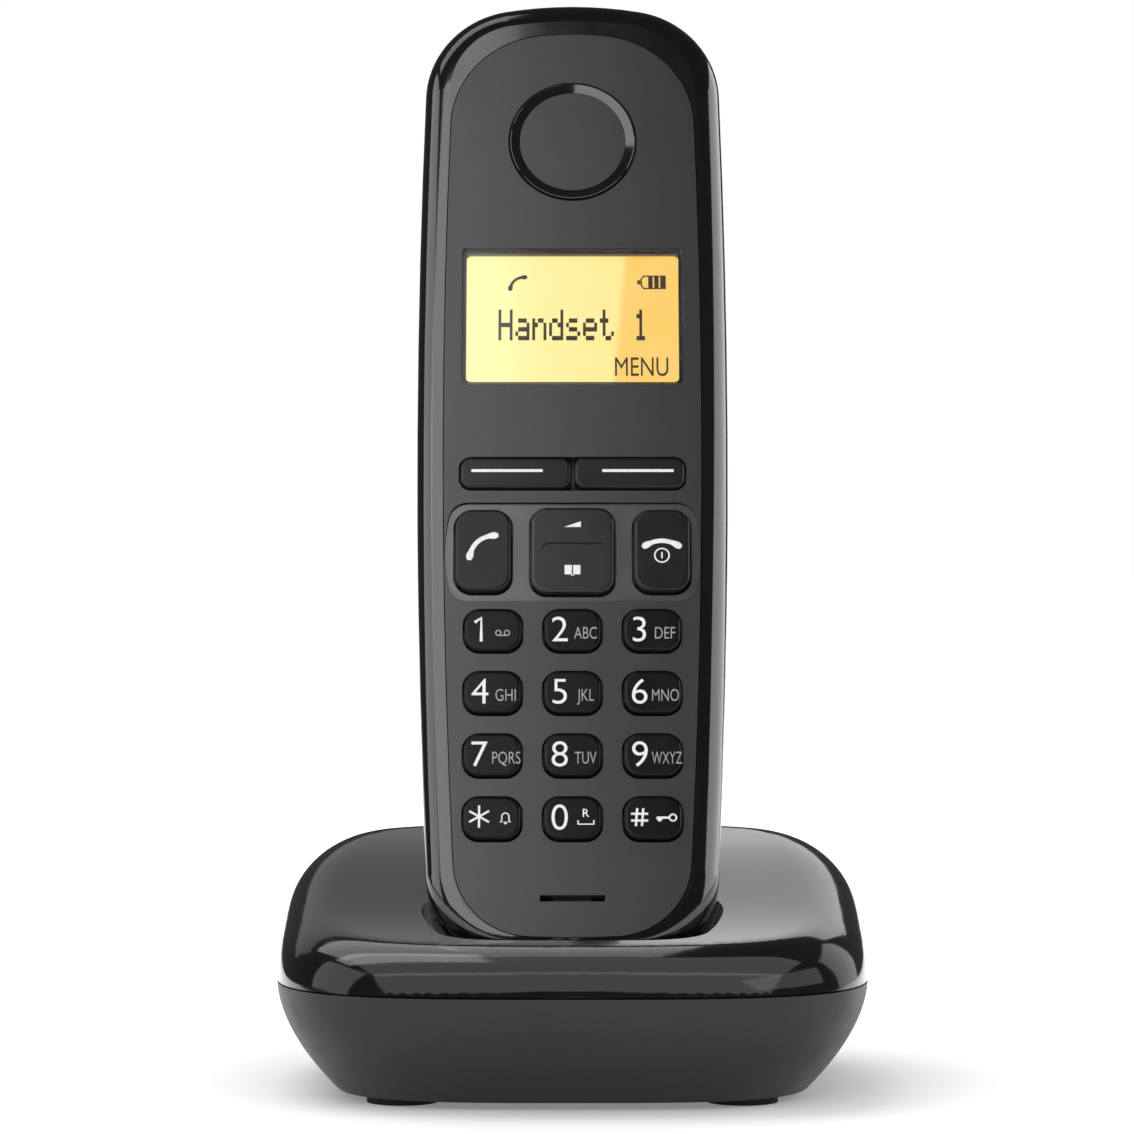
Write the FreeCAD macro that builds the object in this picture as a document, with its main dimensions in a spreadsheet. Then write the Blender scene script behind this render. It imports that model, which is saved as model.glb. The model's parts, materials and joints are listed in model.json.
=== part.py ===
import FreeCAD, Part
import math
import os
import re
import Sketcher
from FreeCAD import Placement, Rotation, Vector

# Cordless phone standing in its charging base. Millimetres.
# Base frame: X across, Y to the back, Z up, origin on the desk under the base's middle.
# Handset frame: X across, Y from the face (0) into the body, Z from the foot to the head.
# The handset frame leans back on the base by handset_lean.

SIZES = {
    # handset body
    "handset_length": 159.0,
    "handset_width": 48.8,
    "handset_widest": 95.0,       # height of the widest point above the foot
    "foot_width": 43.4,
    "head_width": 46.4,
    "foot_depth": 21.0,
    "head_depth": 19.5,
    "head_crown": 4.4,            # how far the top edge bows
    "foot_crown": 1.2,
    "head_radius": 15.5,          # corner radii seen from the front
    "foot_radius": 14.0,
    "front_radius": 4.0,          # rounding from the face to the sides
    "back_radius": 9.0,
    "shell_wall": 2.0,
    # place of the handset on the base
    "handset_lean": 19.5,
    "chin_back": -33.5,           # Y of the handset's front lower corner
    "chin_height": 23.0,          # Z of the same corner
    "well_clearance": 1.2,
    # matte face panel
    "panel_side": 4.1,            # width of the glossy rim at the sides, head and foot
    "panel_head": 6.2,
    "panel_foot": 3.2,
    "panel_radius": 16.0,
    "panel_chin_radius": 12.0,
    "panel_thick": 2.2,
    "panel_gap": 0.15,
    # display
    "window_width": 34.8,
    "window_height": 22.9,
    "window_centre": 104.1,
    "window_thick": 1.2,
    "window_sunk": 0.15,
    "window_corner": 0.8,
    "window_ledge": 0.6,
    "glass_thick": 1.5,
    "glass_gap": 0.1,
    # key field
    "key_width": 8.8,
    "key_height": 6.7,
    "key_pitch_across": 12.25,
    "key_pitch_down": 10.0,
    "key_first_row": 51.8,        # centre of the row 1 2 3 above the foot
    "key_corner": 2.4,
    "key_proud": 1.0,
    "key_gap": 0.3,
    "key_round": 0.55,
    "key_flange": 0.7,             # flange beyond the key, which keeps it behind the panel
    "key_travel": 0.7,
    "flange_thick": 0.6,
    "flange_gap": 0.3,
    "key_play": 0.05,
    "soft_width": 17.2,
    "soft_height": 5.0,
    "soft_corner": 1.6,
    "soft_centre": 77.6,
    "soft_split": 0.5,            # gap between the two soft keys
    "soft_proud": 0.7,
    "call_width": 8.7,
    "call_height": 13.3,
    "call_corner": 2.6,
    "call_offset": 13.85,         # centre of the talk and end keys from the middle
    "call_centre": 64.8,
    "rocker_width": 12.9,
    "rocker_height": 13.9,
    "rocker_corner": 2.4,
    "basin_width": 39.6,
    "basin_height": 16.0,
    "basin_bow": 1.3,             # how far the basin's sides bulge
    "basin_corner": 3.0,
    "basin_deep": 0.6,
    "basin_thick": 0.6,
    # board stack behind the keys
    "mat_thick": 0.85,
    "mat_margin": 1.2,
    "dome_thick": 0.3,
    "dome_width": 4.4,
    "board_thick": 1.2,
    "board_width": 38.6,
    "board_corner": 6.0,
    "board_low": 7.2,
    "board_below_head": 37.5,
    "cap_width": 5.0,
    "cap_tall": 3.4,
    "aerial_wide": 8.0,
    "aerial_tall": 9.0,
    "aerial_thick": 0.4,
    "aerial_lift": 2.6,
    "aerial_leg": 1.6,
    "aerial_offset": 13.0,
    "aerial_drop": 14.0,          # below the board's upper edge
    # earpiece, microphone, ringer
    "ear_below_head": 25.1,
    "ear_width": 20.4,
    "ear_disc": 16.8,
    "ear_groove": 1.0,
    "ear_thick": 1.6,
    "ear_slope": 0.3,
    "ear_ledge": 1.0,
    "ear_port": 0.5,
    "speaker_width": 20.0,
    "speaker_thick": 4.4,
    "mic_height": 9.4,
    "mic_slot": 9.9,
    "mic_slot_tall": 1.0,
    "mic_width": 6.0,
    "mic_thick": 2.2,
    "ringer_width": 14.0,
    "ringer_thick": 3.2,
    "ringer_slot": 1.2,
    # battery bay
    "cell_width": 10.5,
    "cell_length": 44.5,
    "cell_gap": 0.35,
    "bay_middle": 68.0,
    "bay_wall": 1.0,
    "bay_board_gap": 4.0,         # room for parts between the board and the bay
    "spring_room": 4.0,
    "door_width": 30.0,
    "door_over": 6.0,             # door beyond the bay at each end
    "door_gap": 0.2,
    "door_wall": 1.8,
    "door_corner": 3.0,
    "bay_back_gap": 1.0,
    "nub_width": 5.0,
    "nub_long": 0.8,
    "plate_thick": 0.4,
    "spring_wire": 0.6,
    # screws
    "screw_width": 2.0,
    "screw_head": 3.8,
    "screw_head_tall": 1.5,
    "screw_gap": 0.3,
    "screw_grip": 5.0,            # thread length in the panel post
    "screw_seat": 16.0,           # depth of the seat under the head
    "post_width": 6.4,
    "post_split": 9.0,            # where panel posts and shell posts meet
    "post_low": 12.3,
    "post_low_offset": 12.4,
    "post_below_head": 39.0,
    "post_high_offset": 14.6,
    # charging
    "pad_width": 6.0,
    "pad_deep": 4.0,
    "pad_thick": 1.2,
    "pad_offset": 9.0,
    "pad_middle": 9.6,            # depth of the pads behind the face
    "pad_sunk": 0.3,
    "pin_width": 2.4,
    "pin_gap": 0.05,
    "pin_length": 8.0,
    "pin_collar": 0.8,
    "pin_flange_room": 0.1,
    "pin_sunk": 1.5,              # how far the pins reach into their carrier at rest
    "carrier_tall": 5.0,
    "carrier_margin": 3.2,        # from a pin's axis to the carrier's sides
    # base
    "base_width": 92.0,
    "base_depth": 85.0,
    "plan_power": 3.5,            # squareness of the base's plan
    "seam_height": 17.8,
    "lip_height": 24.9,           # top surface at the front edge, chin, crease, middle and back
    "chin_rise": 0.9,
    "crease_height": 27.9,
    "crease_run": 13.0,           # from the chin to the crease
    "slope_back": 9.0,
    "slope_height": 35.6,
    "rear_height": 39.8,
    "front_round": 7.6,
    "rear_round": 14.0,
    "cover_wall": 2.2,
    "tub_wall": 2.2,
    "seam_gap": 0.25,
    "lip_rise": 0.7,              # locating lip of the lower shell, above and below the seam
    "lip_drop": 1.5,
    "lip_wall": 1.2,
    "bowl_tuck": 9.0,             # how far the lower shell draws in at the bottom
    "foot_pad_width": 11.0,
    "foot_pad_proud": 1.2,
    "foot_pad_sunk": 0.8,
    "foot_pad_across": 26.0,
    "foot_pad_along": 22.0,
    "base_post_width": 6.0,
    "base_post_inset": 15.0,
    "base_post_along": 14.0,
    "base_screw_seat": 6.5,
    # base electronics
    "main_board_width": 50.0,
    "main_board_front": -4.0,
    "main_board_length": 32.0,
    "main_board_height": 15.2,
    "base_cap_width": 6.0,
    "base_cap_tall": 8.0,
    "base_cap_back": 25.0,
    "fin_foot": 3.0,              # upright aerials at the board's back corners
    "fin_thick": 0.6,
    "fin_inset": 4.0,
    "jack_width": 13.0,
    "jack_tall": 11.0,
    "jack_long": 12.5,
    "jack_offset": 9.0,
    "jack_mouth_width": 9.8,
    "jack_mouth_tall": 6.8,
    "jack_mouth_deep": 11.0,
    "jack_latch": 1.2,
    "jack_wire_pitch": 1.3,
    "recess_width": 36.0,
    "recess_front": 30.0,
    "page_width": 7.0,
    "page_proud": 0.6,
    "page_height": 23.0,
    "page_travel": 0.7,
    "page_gap": 0.3,
    "page_flange": 0.8,
    "page_switch_deep": 3.5,
}

doc = FreeCAD.newDocument("CordlessPhone")
sheet = doc.addObject("Spreadsheet::Sheet", "Spec")
for row, (alias, value) in enumerate(SIZES.items(), start=1):
    sheet.set("A%d" % row, alias)
    sheet.set("B%d" % row, str(value))
    sheet.setAlias("B%d" % row, alias)
doc.recompute()

nodes = []


def size(alias):
    return float(sheet.get(alias))


def formula(text):
    """Every word with an underscore is a cell of the sheet."""
    return re.sub(r"[a-z]+(?:_[a-z]+)+", lambda found: "Spec." + found.group(0), text)


def bind(thing, formulas):
    for name, text in formulas.items():
        thing.setExpression(name, formula(text))


def block(name, wide, deep, tall, x="0", y="0", z="0"):
    """Box centred on x, its front at y and its underside at z."""
    box = doc.addObject("Part::Box", name)
    bind(box, {
        "Length": wide,
        "Width": deep,
        "Height": tall,
        "Placement.Base.x": "(%s) - (%s) / 2" % (x, wide),
        "Placement.Base.y": y,
        "Placement.Base.z": z,
    })
    return box


def rod(name, wide, long, x="0", y="0", z="0", along="Z"):
    """Cylinder of diameter wide that starts at the point and runs along +Z or +Y."""
    cylinder = doc.addObject("Part::Cylinder", name)
    if along == "Y":
        cylinder.Placement = Placement(Vector(), Rotation(Vector(1, 0, 0), -90))
    bind(cylinder, {
        "Radius": "(%s) / 2" % wide,
        "Height": long,
        "Placement.Base.x": x,
        "Placement.Base.y": y,
        "Placement.Base.z": z,
    })
    return cylinder


def fixed(name, shape):
    """A free-form shape worked out from the sheet by a function of this file."""
    feature = doc.addObject("Part::Feature", name)
    feature.Shape = shape
    return feature


def group(name, parts):
    joined = doc.addObject("Part::Compound", name)
    joined.Links = parts
    return joined


def fuse(name, parts):
    joined = doc.addObject("Part::MultiFuse", name)
    joined.Shapes = parts
    return joined


def cut(name, base, tools):
    result = doc.addObject("Part::Cut", name)
    result.Base = base
    result.Tool = tools[0] if len(tools) == 1 else fuse(name + "Tools", tools)
    return result


def common(name, parts):
    result = doc.addObject("Part::MultiCommon", name)
    result.Shapes = parts
    return result


def seat(thing, x="0", y="0", z="0"):
    """Put a piece of the handset frame where the leaning handset has it."""
    thing.Placement = Placement(Vector(), Rotation(Vector(1, 0, 0), -size("handset_lean")))
    lean = "handset_lean * 1 deg"
    bind(thing, {
        "Placement.Base.x": x,
        "Placement.Base.y": "chin_back + (%s) * cos(%s) + (%s) * sin(%s)" % (y, lean, z, lean),
        "Placement.Base.z": "chin_height - (%s) * sin(%s) + (%s) * cos(%s)" % (y, lean, z, lean),
        "Placement.Rotation.Angle": "-handset_lean * 1 deg",
    })


def keep(node, thing):
    thing.Label = node
    nodes.append(thing)
    return thing


def keep_in_handset(node, thing):
    """A primitive already has a place in the handset frame, so it is wrapped before it is seated."""
    if thing.TypeId in ("Part::Box", "Part::Cylinder"):
        thing = group(thing.Name + "Piece", [thing])
    seat(thing)
    return keep(node, thing)


# ---------------------------------------------------------------- sketched bodies

def new_body(name):
    return doc.addObject("PartDesign::Body", name)


def sketch_on(body, plane, name, offset="0"):
    sketch = body.newObject("Sketcher::SketchObject", name)
    planes = [part for part in body.Origin.OriginFeatures if part.Role == plane]
    sketch.AttachmentSupport = [(planes[0], "")]
    sketch.MapMode = "FlatFace"
    sketch.setExpression("AttachmentOffset.Base.z", formula(offset))
    return sketch


def place_point(sketch, geometry, point, x, y):
    """Hold one point of a sketch at two formulas, measured from the sketch's origin."""
    for kind, text in (("DistanceX", x), ("DistanceY", y)):
        index = sketch.addConstraint(Sketcher.Constraint(kind, -1, 1, geometry, point, 1.0))
        sketch.setExpression("Constraints[%d]" % index, formula(text))


def polygon(sketch, corners):
    """Closed outline of straight lines; corners are pairs of formulas."""
    count = len(corners)
    start = [Vector(math.cos(2 * math.pi * i / count), math.sin(2 * math.pi * i / count), 0)
             for i in range(count)]
    for i in range(count):
        sketch.addGeometry(Part.LineSegment(start[i], start[(i + 1) % count]), False)
    for i in range(count):
        sketch.addConstraint(Sketcher.Constraint("Coincident", i, 2, (i + 1) % count, 1))
    for i, (x, y) in enumerate(corners):
        place_point(sketch, i, 1, x, y)


def rectangle(sketch, wide, tall, x="0", y="0"):
    polygon(sketch, [
        ("(%s) - (%s) / 2" % (x, wide), "(%s) - (%s) / 2" % (y, tall)),
        ("(%s) + (%s) / 2" % (x, wide), "(%s) - (%s) / 2" % (y, tall)),
        ("(%s) + (%s) / 2" % (x, wide), "(%s) + (%s) / 2" % (y, tall)),
        ("(%s) - (%s) / 2" % (x, wide), "(%s) + (%s) / 2" % (y, tall)),
    ])


def pad(body, sketch, name, length, back=False):
    feature = body.newObject("PartDesign::Pad", name)
    feature.Profile = sketch
    feature.Reversed = back
    feature.setExpression("Length", formula(length))
    return feature


def turn(body, sketch, name):
    """Full turn of a profile about the sketch's own vertical axis."""
    feature = body.newObject("PartDesign::Revolution", name)
    feature.Profile = sketch
    feature.ReferenceAxis = (sketch, ["V_Axis"])
    feature.Angle = 360
    return feature


def round_edges(body, name, radius, wanted):
    """Fillet of the edges of the body's tip for which wanted(edge) is true."""
    doc.recompute()
    tip = body.Tip
    picked = ["Edge%d" % i for i, edge in enumerate(tip.Shape.Edges, start=1) if wanted(edge)]
    feature = body.newObject("PartDesign::Fillet", name)
    feature.Base = (tip, picked)
    feature.setExpression("Radius", formula(radius))
    return feature


# ---------------------------------------------------------------- depths behind the face

FLANGE_FRONT = ["panel_thick", "flange_gap"]
FLANGE_BACK = FLANGE_FRONT + ["flange_thick"]
MAT_FRONT = FLANGE_BACK + ["key_travel", "key_play"]
BOARD_FRONT = MAT_FRONT + ["mat_thick", "dome_thick"]
BOARD_BACK = BOARD_FRONT + ["board_thick"]
BAY_FRONT = BOARD_BACK + ["bay_board_gap"]
CELL_FRONT = BAY_FRONT + ["bay_wall", "cell_gap"]
DEEPEST = CELL_FRONT + ["cell_width", "cell_gap", "shell_wall"]


def depth(stack):
    """Formula of a depth: the sum of the layers in front of it."""
    return "(" + " + ".join(stack) + ")"


def depth_size(stack):
    return sum(size(layer) for layer in stack)


# ---------------------------------------------------------------- free forms

def arc(start, middle, end):
    return Part.Arc(start, middle, end).toShape()


def runs_along(edge, axis):
    return abs(edge.tangentAt(edge.FirstParameter).dot(axis)) > 0.99


def bowed_slab(inset, low, high, front, back, foot_radius, head_radius):
    """Slab with the handset's bowed outline, from front to back in depth."""
    foot = size("foot_width") / 2 - inset
    widest = size("handset_width") / 2 - inset
    head = size("head_width") / 2 - inset
    foot_corner = low + size("foot_crown")
    head_corner = high - size("head_crown")
    outline = Part.Wire([
        arc(Vector(-foot, front, foot_corner), Vector(0, front, low), Vector(foot, front, foot_corner)),
        arc(Vector(foot, front, foot_corner), Vector(widest, front, size("handset_widest")),
            Vector(head, front, head_corner)),
        arc(Vector(head, front, head_corner), Vector(0, front, high), Vector(-head, front, head_corner)),
        arc(Vector(-head, front, head_corner), Vector(-widest, front, size("handset_widest")),
            Vector(-foot, front, foot_corner)),
    ])
    slab = Part.Face(outline).extrude(Vector(0, back - front, 0))
    long_edges = [edge for edge in slab.Edges if runs_along(edge, Vector(0, 1, 0))]
    lower = [edge for edge in long_edges if edge.CenterOfMass.z < (low + high) / 2]
    upper = [edge for edge in long_edges if edge.CenterOfMass.z > (low + high) / 2]
    slab = slab.makeFillet(foot_radius, lower)
    return slab.makeFillet(head_radius, [match_edge(slab, edge) for edge in upper])


def match_edge(shape, wanted):
    """The edge of a rebuilt shape that lies where an edge of the old one did."""
    return min(shape.Edges, key=lambda edge: (edge.CenterOfMass - wanted.CenterOfMass).Length)


def handset_form(inset):
    """The handset's outer form, drawn in by inset on every side."""
    slab = bowed_slab(inset, inset, size("handset_length") - inset, inset, depth_size(DEEPEST) + 10,
                      size("foot_radius") - inset, size("head_radius") - inset)
    back_arc = Part.Circle(Vector(0, size("foot_depth"), 0),
                           Vector(0, depth_size(DEEPEST), size("bay_middle")),
                           Vector(0, size("head_depth"), size("handset_length")))
    rim = Part.makeCylinder(back_arc.Radius - inset, size("handset_width") * 2,
                            back_arc.Center - Vector(size("handset_width"), 0, 0), Vector(1, 0, 0))
    body = slab.common(rim)
    front_face = min(body.Faces, key=lambda face: face.CenterOfMass.y)
    body = body.makeFillet(size("front_radius") - inset, front_face.Edges)
    back_face = max(body.Faces, key=lambda face: face.CenterOfMass.y)
    return body.makeFillet(size("back_radius") - inset, back_face.Edges)


def panel_form(gap, front, back):
    """The matte face panel's outline, grown by gap, as a slab."""
    return bowed_slab(size("panel_side") - gap, size("panel_foot") - gap,
                      size("handset_length") - size("panel_head") + gap, front, back,
                      size("panel_chin_radius") + gap, size("panel_radius") + gap)


def basin_form(gap, front, back):
    """Bulging outline of the basin around the talk, rocker and end keys."""
    side = size("basin_width") / 2 + gap
    corner = side - size("basin_bow")
    low = size("call_centre") - size("basin_height") / 2 - gap
    high = size("call_centre") + size("basin_height") / 2 + gap
    middle = size("call_centre")
    outline = Part.Wire([
        Part.LineSegment(Vector(-corner, front, low), Vector(corner, front, low)).toShape(),
        arc(Vector(corner, front, low), Vector(side, front, middle), Vector(corner, front, high)),
        Part.LineSegment(Vector(corner, front, high), Vector(-corner, front, high)).toShape(),
        arc(Vector(-corner, front, high), Vector(-side, front, middle), Vector(-corner, front, low)),
    ])
    slab = Part.Face(outline).extrude(Vector(0, back - front, 0))
    corners = [edge for edge in slab.Edges if runs_along(edge, Vector(0, 1, 0))]
    return slab.makeFillet(size("basin_corner") + gap, corners)


def plan_points(half_width, half_depth, height, start, end, count):
    """Points of the base's squarish plan between two angles, at one height."""
    power = size("plan_power")
    points = []
    for step in range(count + 1):
        angle = math.radians(start + (end - start) * step / count)
        reach = (abs(math.cos(angle) / half_width) ** power
                 + abs(math.sin(angle) / half_depth) ** power) ** (-1 / power)
        points.append(Vector(reach * math.cos(angle), reach * math.sin(angle), height))
    return points


def base_form(inset, low):
    """The base's upper form down to the height low, drawn in by inset."""
    half_width = size("base_width") / 2 - inset
    half_depth = size("base_depth") / 2 - inset
    side = Part.BSplineCurve()
    side.interpolate(Points=plan_points(half_width, half_depth, 0, -90, 90, 24),
                     InitialTangent=Vector(1, 0, 0), FinalTangent=Vector(-1, 0, 0))
    half_plan = Part.Wire([side.toShape(), Part.LineSegment(side.EndPoint, side.StartPoint).toShape()])
    half = Part.Face(half_plan).extrude(Vector(0, 0, size("rear_height") + 20))
    half = half.cut(above_slope(inset))
    wall_top = max(half.Edges, key=lambda edge: edge.CenterOfMass.x + edge.CenterOfMass.z)
    radii = (size("front_round") - inset, size("rear_round") - inset)
    if wall_top.valueAt(wall_top.FirstParameter).y > 0:
        radii = radii[::-1]
    half = half.makeFillet(radii[0], radii[1], [wall_top])
    keep_over = Part.makeBox(size("base_width"), size("base_depth") * 2, size("rear_height") * 2,
                             Vector(0, -size("base_depth"), low))
    half = half.common(keep_over)
    return half.fuse(half.mirror(Vector(), Vector(1, 0, 0)))


def above_slope(inset):
    """Everything over the base's top surface, which rises to the back."""
    front = -size("base_depth") / 2
    back = -front
    beyond = 10                   # the surface runs on past the plan, so that the cut is clean
    slope = Part.BSplineCurve()
    slope.interpolate([
        Vector(0, front - beyond, size("lip_height") - size("chin_rise") - inset),
        Vector(0, front, size("lip_height") - inset),
        Vector(0, size("chin_back"), size("lip_height") + size("chin_rise") - inset),
        Vector(0, size("chin_back") + size("crease_run"), size("crease_height") - inset),
        Vector(0, size("slope_back"), size("slope_height") - inset),
        Vector(0, back, size("rear_height") - inset),
        Vector(0, back + beyond, size("rear_height") + size("seam_gap") - inset),
    ])
    sky = size("rear_height") + 60
    over = Part.Wire([
        slope.toShape(),
        Part.LineSegment(slope.EndPoint, Vector(0, back + beyond, sky)).toShape(),
        Part.LineSegment(Vector(0, back + beyond, sky), Vector(0, front - beyond, sky)).toShape(),
        Part.LineSegment(Vector(0, front - beyond, sky), slope.StartPoint).toShape(),
    ])
    reach = size("base_width")
    block_over = Part.Face(over).extrude(Vector(2 * reach, 0, 0))
    block_over.translate(Vector(-reach, 0, 0))
    return block_over


def bowl_form(inset, top):
    """The lower shell's form: the plan draws in towards the desk in a smooth curve."""
    bottom = size("foot_pad_proud") + inset
    full = size("seam_height") - size("foot_pad_proud")
    sections = []
    levels = 6
    for step in range(levels + 1):
        height = bottom + (size("seam_height") - bottom) * step / levels
        drop = (size("seam_height") - height) / full
        tuck = inset + size("bowl_tuck") * drop ** 1.75
        points = plan_points(size("base_width") / 2 - tuck, size("base_depth") / 2 - tuck,
                             height, 0, 360, 48)
        loop = Part.BSplineCurve()
        loop.interpolate(points[:-1], PeriodicFlag=True)
        sections.append(Part.Wire(loop.toShape()))
    bowl = Part.makeLoft(sections, True, False)
    if top > size("seam_height"):
        rim = Part.Face(sections[-1]).extrude(Vector(0, 0, top - size("seam_height")))
        bowl = bowl.fuse(rim)
    return bowl


# ---------------------------------------------------------------- handset: openings and keys

ROWS = [["1", "2", "3"], ["4", "5", "6"], ["7", "8", "9"], ["star", "0", "hash"]]


def key_places():
    """Name and centre of every number key, as formulas."""
    places = []
    for row, names in enumerate(ROWS):
        for column, name in enumerate(names):
            across = "key_pitch_across * %d" % (column - 1)
            up = "key_first_row - key_pitch_down * %d" % row
            places.append((name, across, up))
    return places


def rounded_bar(name, wide, tall, corner, front, deep, x="0", z="0"):
    """Rounded rectangle seen from the face, from the depth front, deep millimetres thick."""
    body = new_body(name)
    sketch = sketch_on(body, "XZ_Plane", name + "Outline", "-(%s) - (%s)" % (front, deep))
    rectangle(sketch, wide, tall)
    pad(body, sketch, name + "Pad", deep)
    round_edges(body, name + "Corners", corner, lambda edge: runs_along(edge, Vector(0, 1, 0)))
    bind(body, {"Placement.Base.x": x, "Placement.Base.z": z})
    return body


def push_key(node, wide, tall, corner, x, z, flange_wide, proud="key_proud"):
    """Key cap with a thin flange that stays behind the panel."""
    body = new_body(node.title().replace("_", ""))
    back = "-" + depth(FLANGE_BACK)
    flange = sketch_on(body, "XZ_Plane", body.Name + "Flange", back)
    rectangle(flange, flange_wide, "%s + 2 * key_flange" % tall)
    pad(body, flange, body.Name + "FlangePad", "flange_thick")
    cap = sketch_on(body, "XZ_Plane", body.Name + "Cap", back)
    rectangle(cap, wide, tall)
    pad(body, cap, body.Name + "CapPad", "%s + %s" % (depth(FLANGE_BACK), proud))
    front = -size(proud)
    round_edges(body, body.Name + "Corners", corner,
                lambda edge: runs_along(edge, Vector(0, 1, 0)) and edge.BoundBox.YMin < front / 2)
    round_edges(body, body.Name + "Face", "key_round", lambda edge: edge.BoundBox.YMax < front + 0.01)
    seat(body, x, "0", z)
    return keep(node, body)


def number_keys():
    for name, across, up in key_places():
        push_key("key_" + name, "key_width", "key_height", "key_corner", across, up,
                 "key_width + 2 * key_flange")


def function_keys():
    for node, sign in (("soft_key_left", "-"), ("soft_key_right", "")):
        push_key(node, "soft_width", "soft_height", "soft_corner",
                 sign + "(soft_width + soft_split) / 2", "soft_centre", "soft_width", "soft_proud")
    for node, sign in (("talk_key", "-"), ("end_key", "")):
        push_key(node, "call_width", "call_height", "call_corner", sign + "call_offset", "call_centre",
                 "call_width + 2 * key_flange")
    push_key("nav_rocker", "rocker_width", "rocker_height", "rocker_corner", "0", "call_centre",
             "rocker_width + 2 * key_flange")


def key_openings():
    """Tools that cut every key's hole through the panel."""
    front = "-5"
    through = "panel_thick + 10"
    hole = "%s + 2 * key_gap"
    tools = []
    for name, across, up in key_places():
        tools.append(rounded_bar("Hole" + name.title(), hole % "key_width", hole % "key_height",
                                 "key_corner + key_gap", front, through, across, up))
    tools.append(rounded_bar("HoleSoft", "2 * soft_width + soft_split + 2 * key_gap",
                             hole % "soft_height", "soft_corner + key_gap", front, through,
                             "0", "soft_centre"))
    return tools + call_openings("Hole", front, through)


def call_openings(name, front, deep):
    hole = "%s + 2 * key_gap"
    return [
        rounded_bar(name + "Talk", hole % "call_width", hole % "call_height", "call_corner + key_gap",
                    front, deep, "-call_offset", "call_centre"),
        rounded_bar(name + "End", hole % "call_width", hole % "call_height", "call_corner + key_gap",
                    front, deep, "call_offset", "call_centre"),
        rounded_bar(name + "Rocker", hole % "rocker_width", hole % "rocker_height",
                    "rocker_corner + key_gap", front, deep, "0", "call_centre"),
    ]


POST_LOW = ("post_low_offset", "post_low")
POST_HIGH = ("post_high_offset", "handset_length - post_below_head")


def post_places():
    return [(sign + across, up) for across, up in (POST_LOW, POST_HIGH) for sign in ("-", "")]


def rods_at_posts(name, wide, front, long):
    return [rod("%s%d" % (name, i), wide, long, x, front, z, along="Y")
            for i, (x, z) in enumerate(post_places(), start=1)]


# ---------------------------------------------------------------- handset: shells

EAR_HEIGHT = "handset_length - ear_below_head"


def face_panel():
    plate = fixed("PanelPlate", panel_form(-size("panel_gap"), 0, size("panel_thick")))
    ear_wall = cut("EarWall", rod("EarWallOuter", "speaker_width + 2 * panel_gap + 2 * ear_thick",
                                  "speaker_thick / 2 + panel_thick / 2", "0", "panel_thick / 2",
                                  EAR_HEIGHT, along="Y"),
                   [rod("EarWallBore", "speaker_width + 2 * panel_gap", "speaker_thick + panel_thick",
                        "0", "0", EAR_HEIGHT, along="Y")])
    posts = rods_at_posts("PanelPost", "post_width", "panel_thick / 2", "post_split - panel_thick / 2")
    solid = fuse("PanelSolid", [plate, ear_wall] + posts)
    tools = key_openings()
    tools.append(fixed("BasinPocket", basin_form(size("panel_gap") / 2, -1,
                                                 size("basin_deep") + size("basin_thick"))))
    tools.append(rounded_bar("WindowPocket", "window_width + panel_gap", "window_height + panel_gap",
                             "window_corner", "-1", "window_thick + 1", "0", "window_centre"))
    tools.append(rounded_bar("WindowView", "window_width - 2 * window_ledge",
                             "window_height - 2 * window_ledge", "window_corner", "-1",
                             "panel_thick + 2", "0", "window_centre"))
    tools.append(rod("EarSeat", "ear_width + panel_gap", "ear_thick + 1", "0", "-1", EAR_HEIGHT, along="Y"))
    tools.append(rod("EarSound", "ear_width - 2 * ear_ledge", "panel_thick + 2", "0", "-1",
                     EAR_HEIGHT, along="Y"))
    tools.append(block("MicSlot", "mic_slot", "panel_thick + 2", "mic_slot_tall", "0", "-1",
                       "mic_height - mic_slot_tall / 2"))
    tools += rods_at_posts("PanelThread", "screw_width", "post_split - screw_grip", "screw_grip + 1")
    return keep_in_handset("face_panel", cut("FacePanel", solid, tools))


def basin_trim():
    plate = fixed("BasinPlate", basin_form(0, size("basin_deep"), size("basin_deep") + size("basin_thick")))
    keep_in_handset("basin_trim", cut("BasinTrim", plate, call_openings("Trim", "-1", "panel_thick + 2")))


def earpiece():
    body = new_body("EarDish")
    profile = sketch_on(body, "XY_Plane", "EarProfile")
    polygon(profile, [
        ("0", "0"),
        ("ear_disc / 2", "0"),
        ("ear_disc / 2 + ear_slope", "ear_groove"),
        ("ear_width / 2 - 3 * ear_slope", "ear_groove"),
        ("ear_width / 2", "0"),
        ("ear_width / 2", "ear_thick"),
        ("0", "ear_thick"),
    ])
    turn(body, profile, "EarTurn")
    groove_middle = (size("ear_disc") + size("ear_width")) / 4 - size("ear_slope")
    ports = []
    count = 12
    for i in range(count):
        angle = 2 * math.pi * (i + 0.5) / count
        ports.append(rod("EarPort%d" % i, "ear_port", "ear_thick + 2",
                         "%.6f" % (groove_middle * math.cos(angle)), "-1",
                         "%.6f" % (groove_middle * math.sin(angle)), along="Y"))
    cap = cut("EarCap", body, ports)
    seat(cap, "0", "0", EAR_HEIGHT)
    keep("earpiece_cap", cap)


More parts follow.
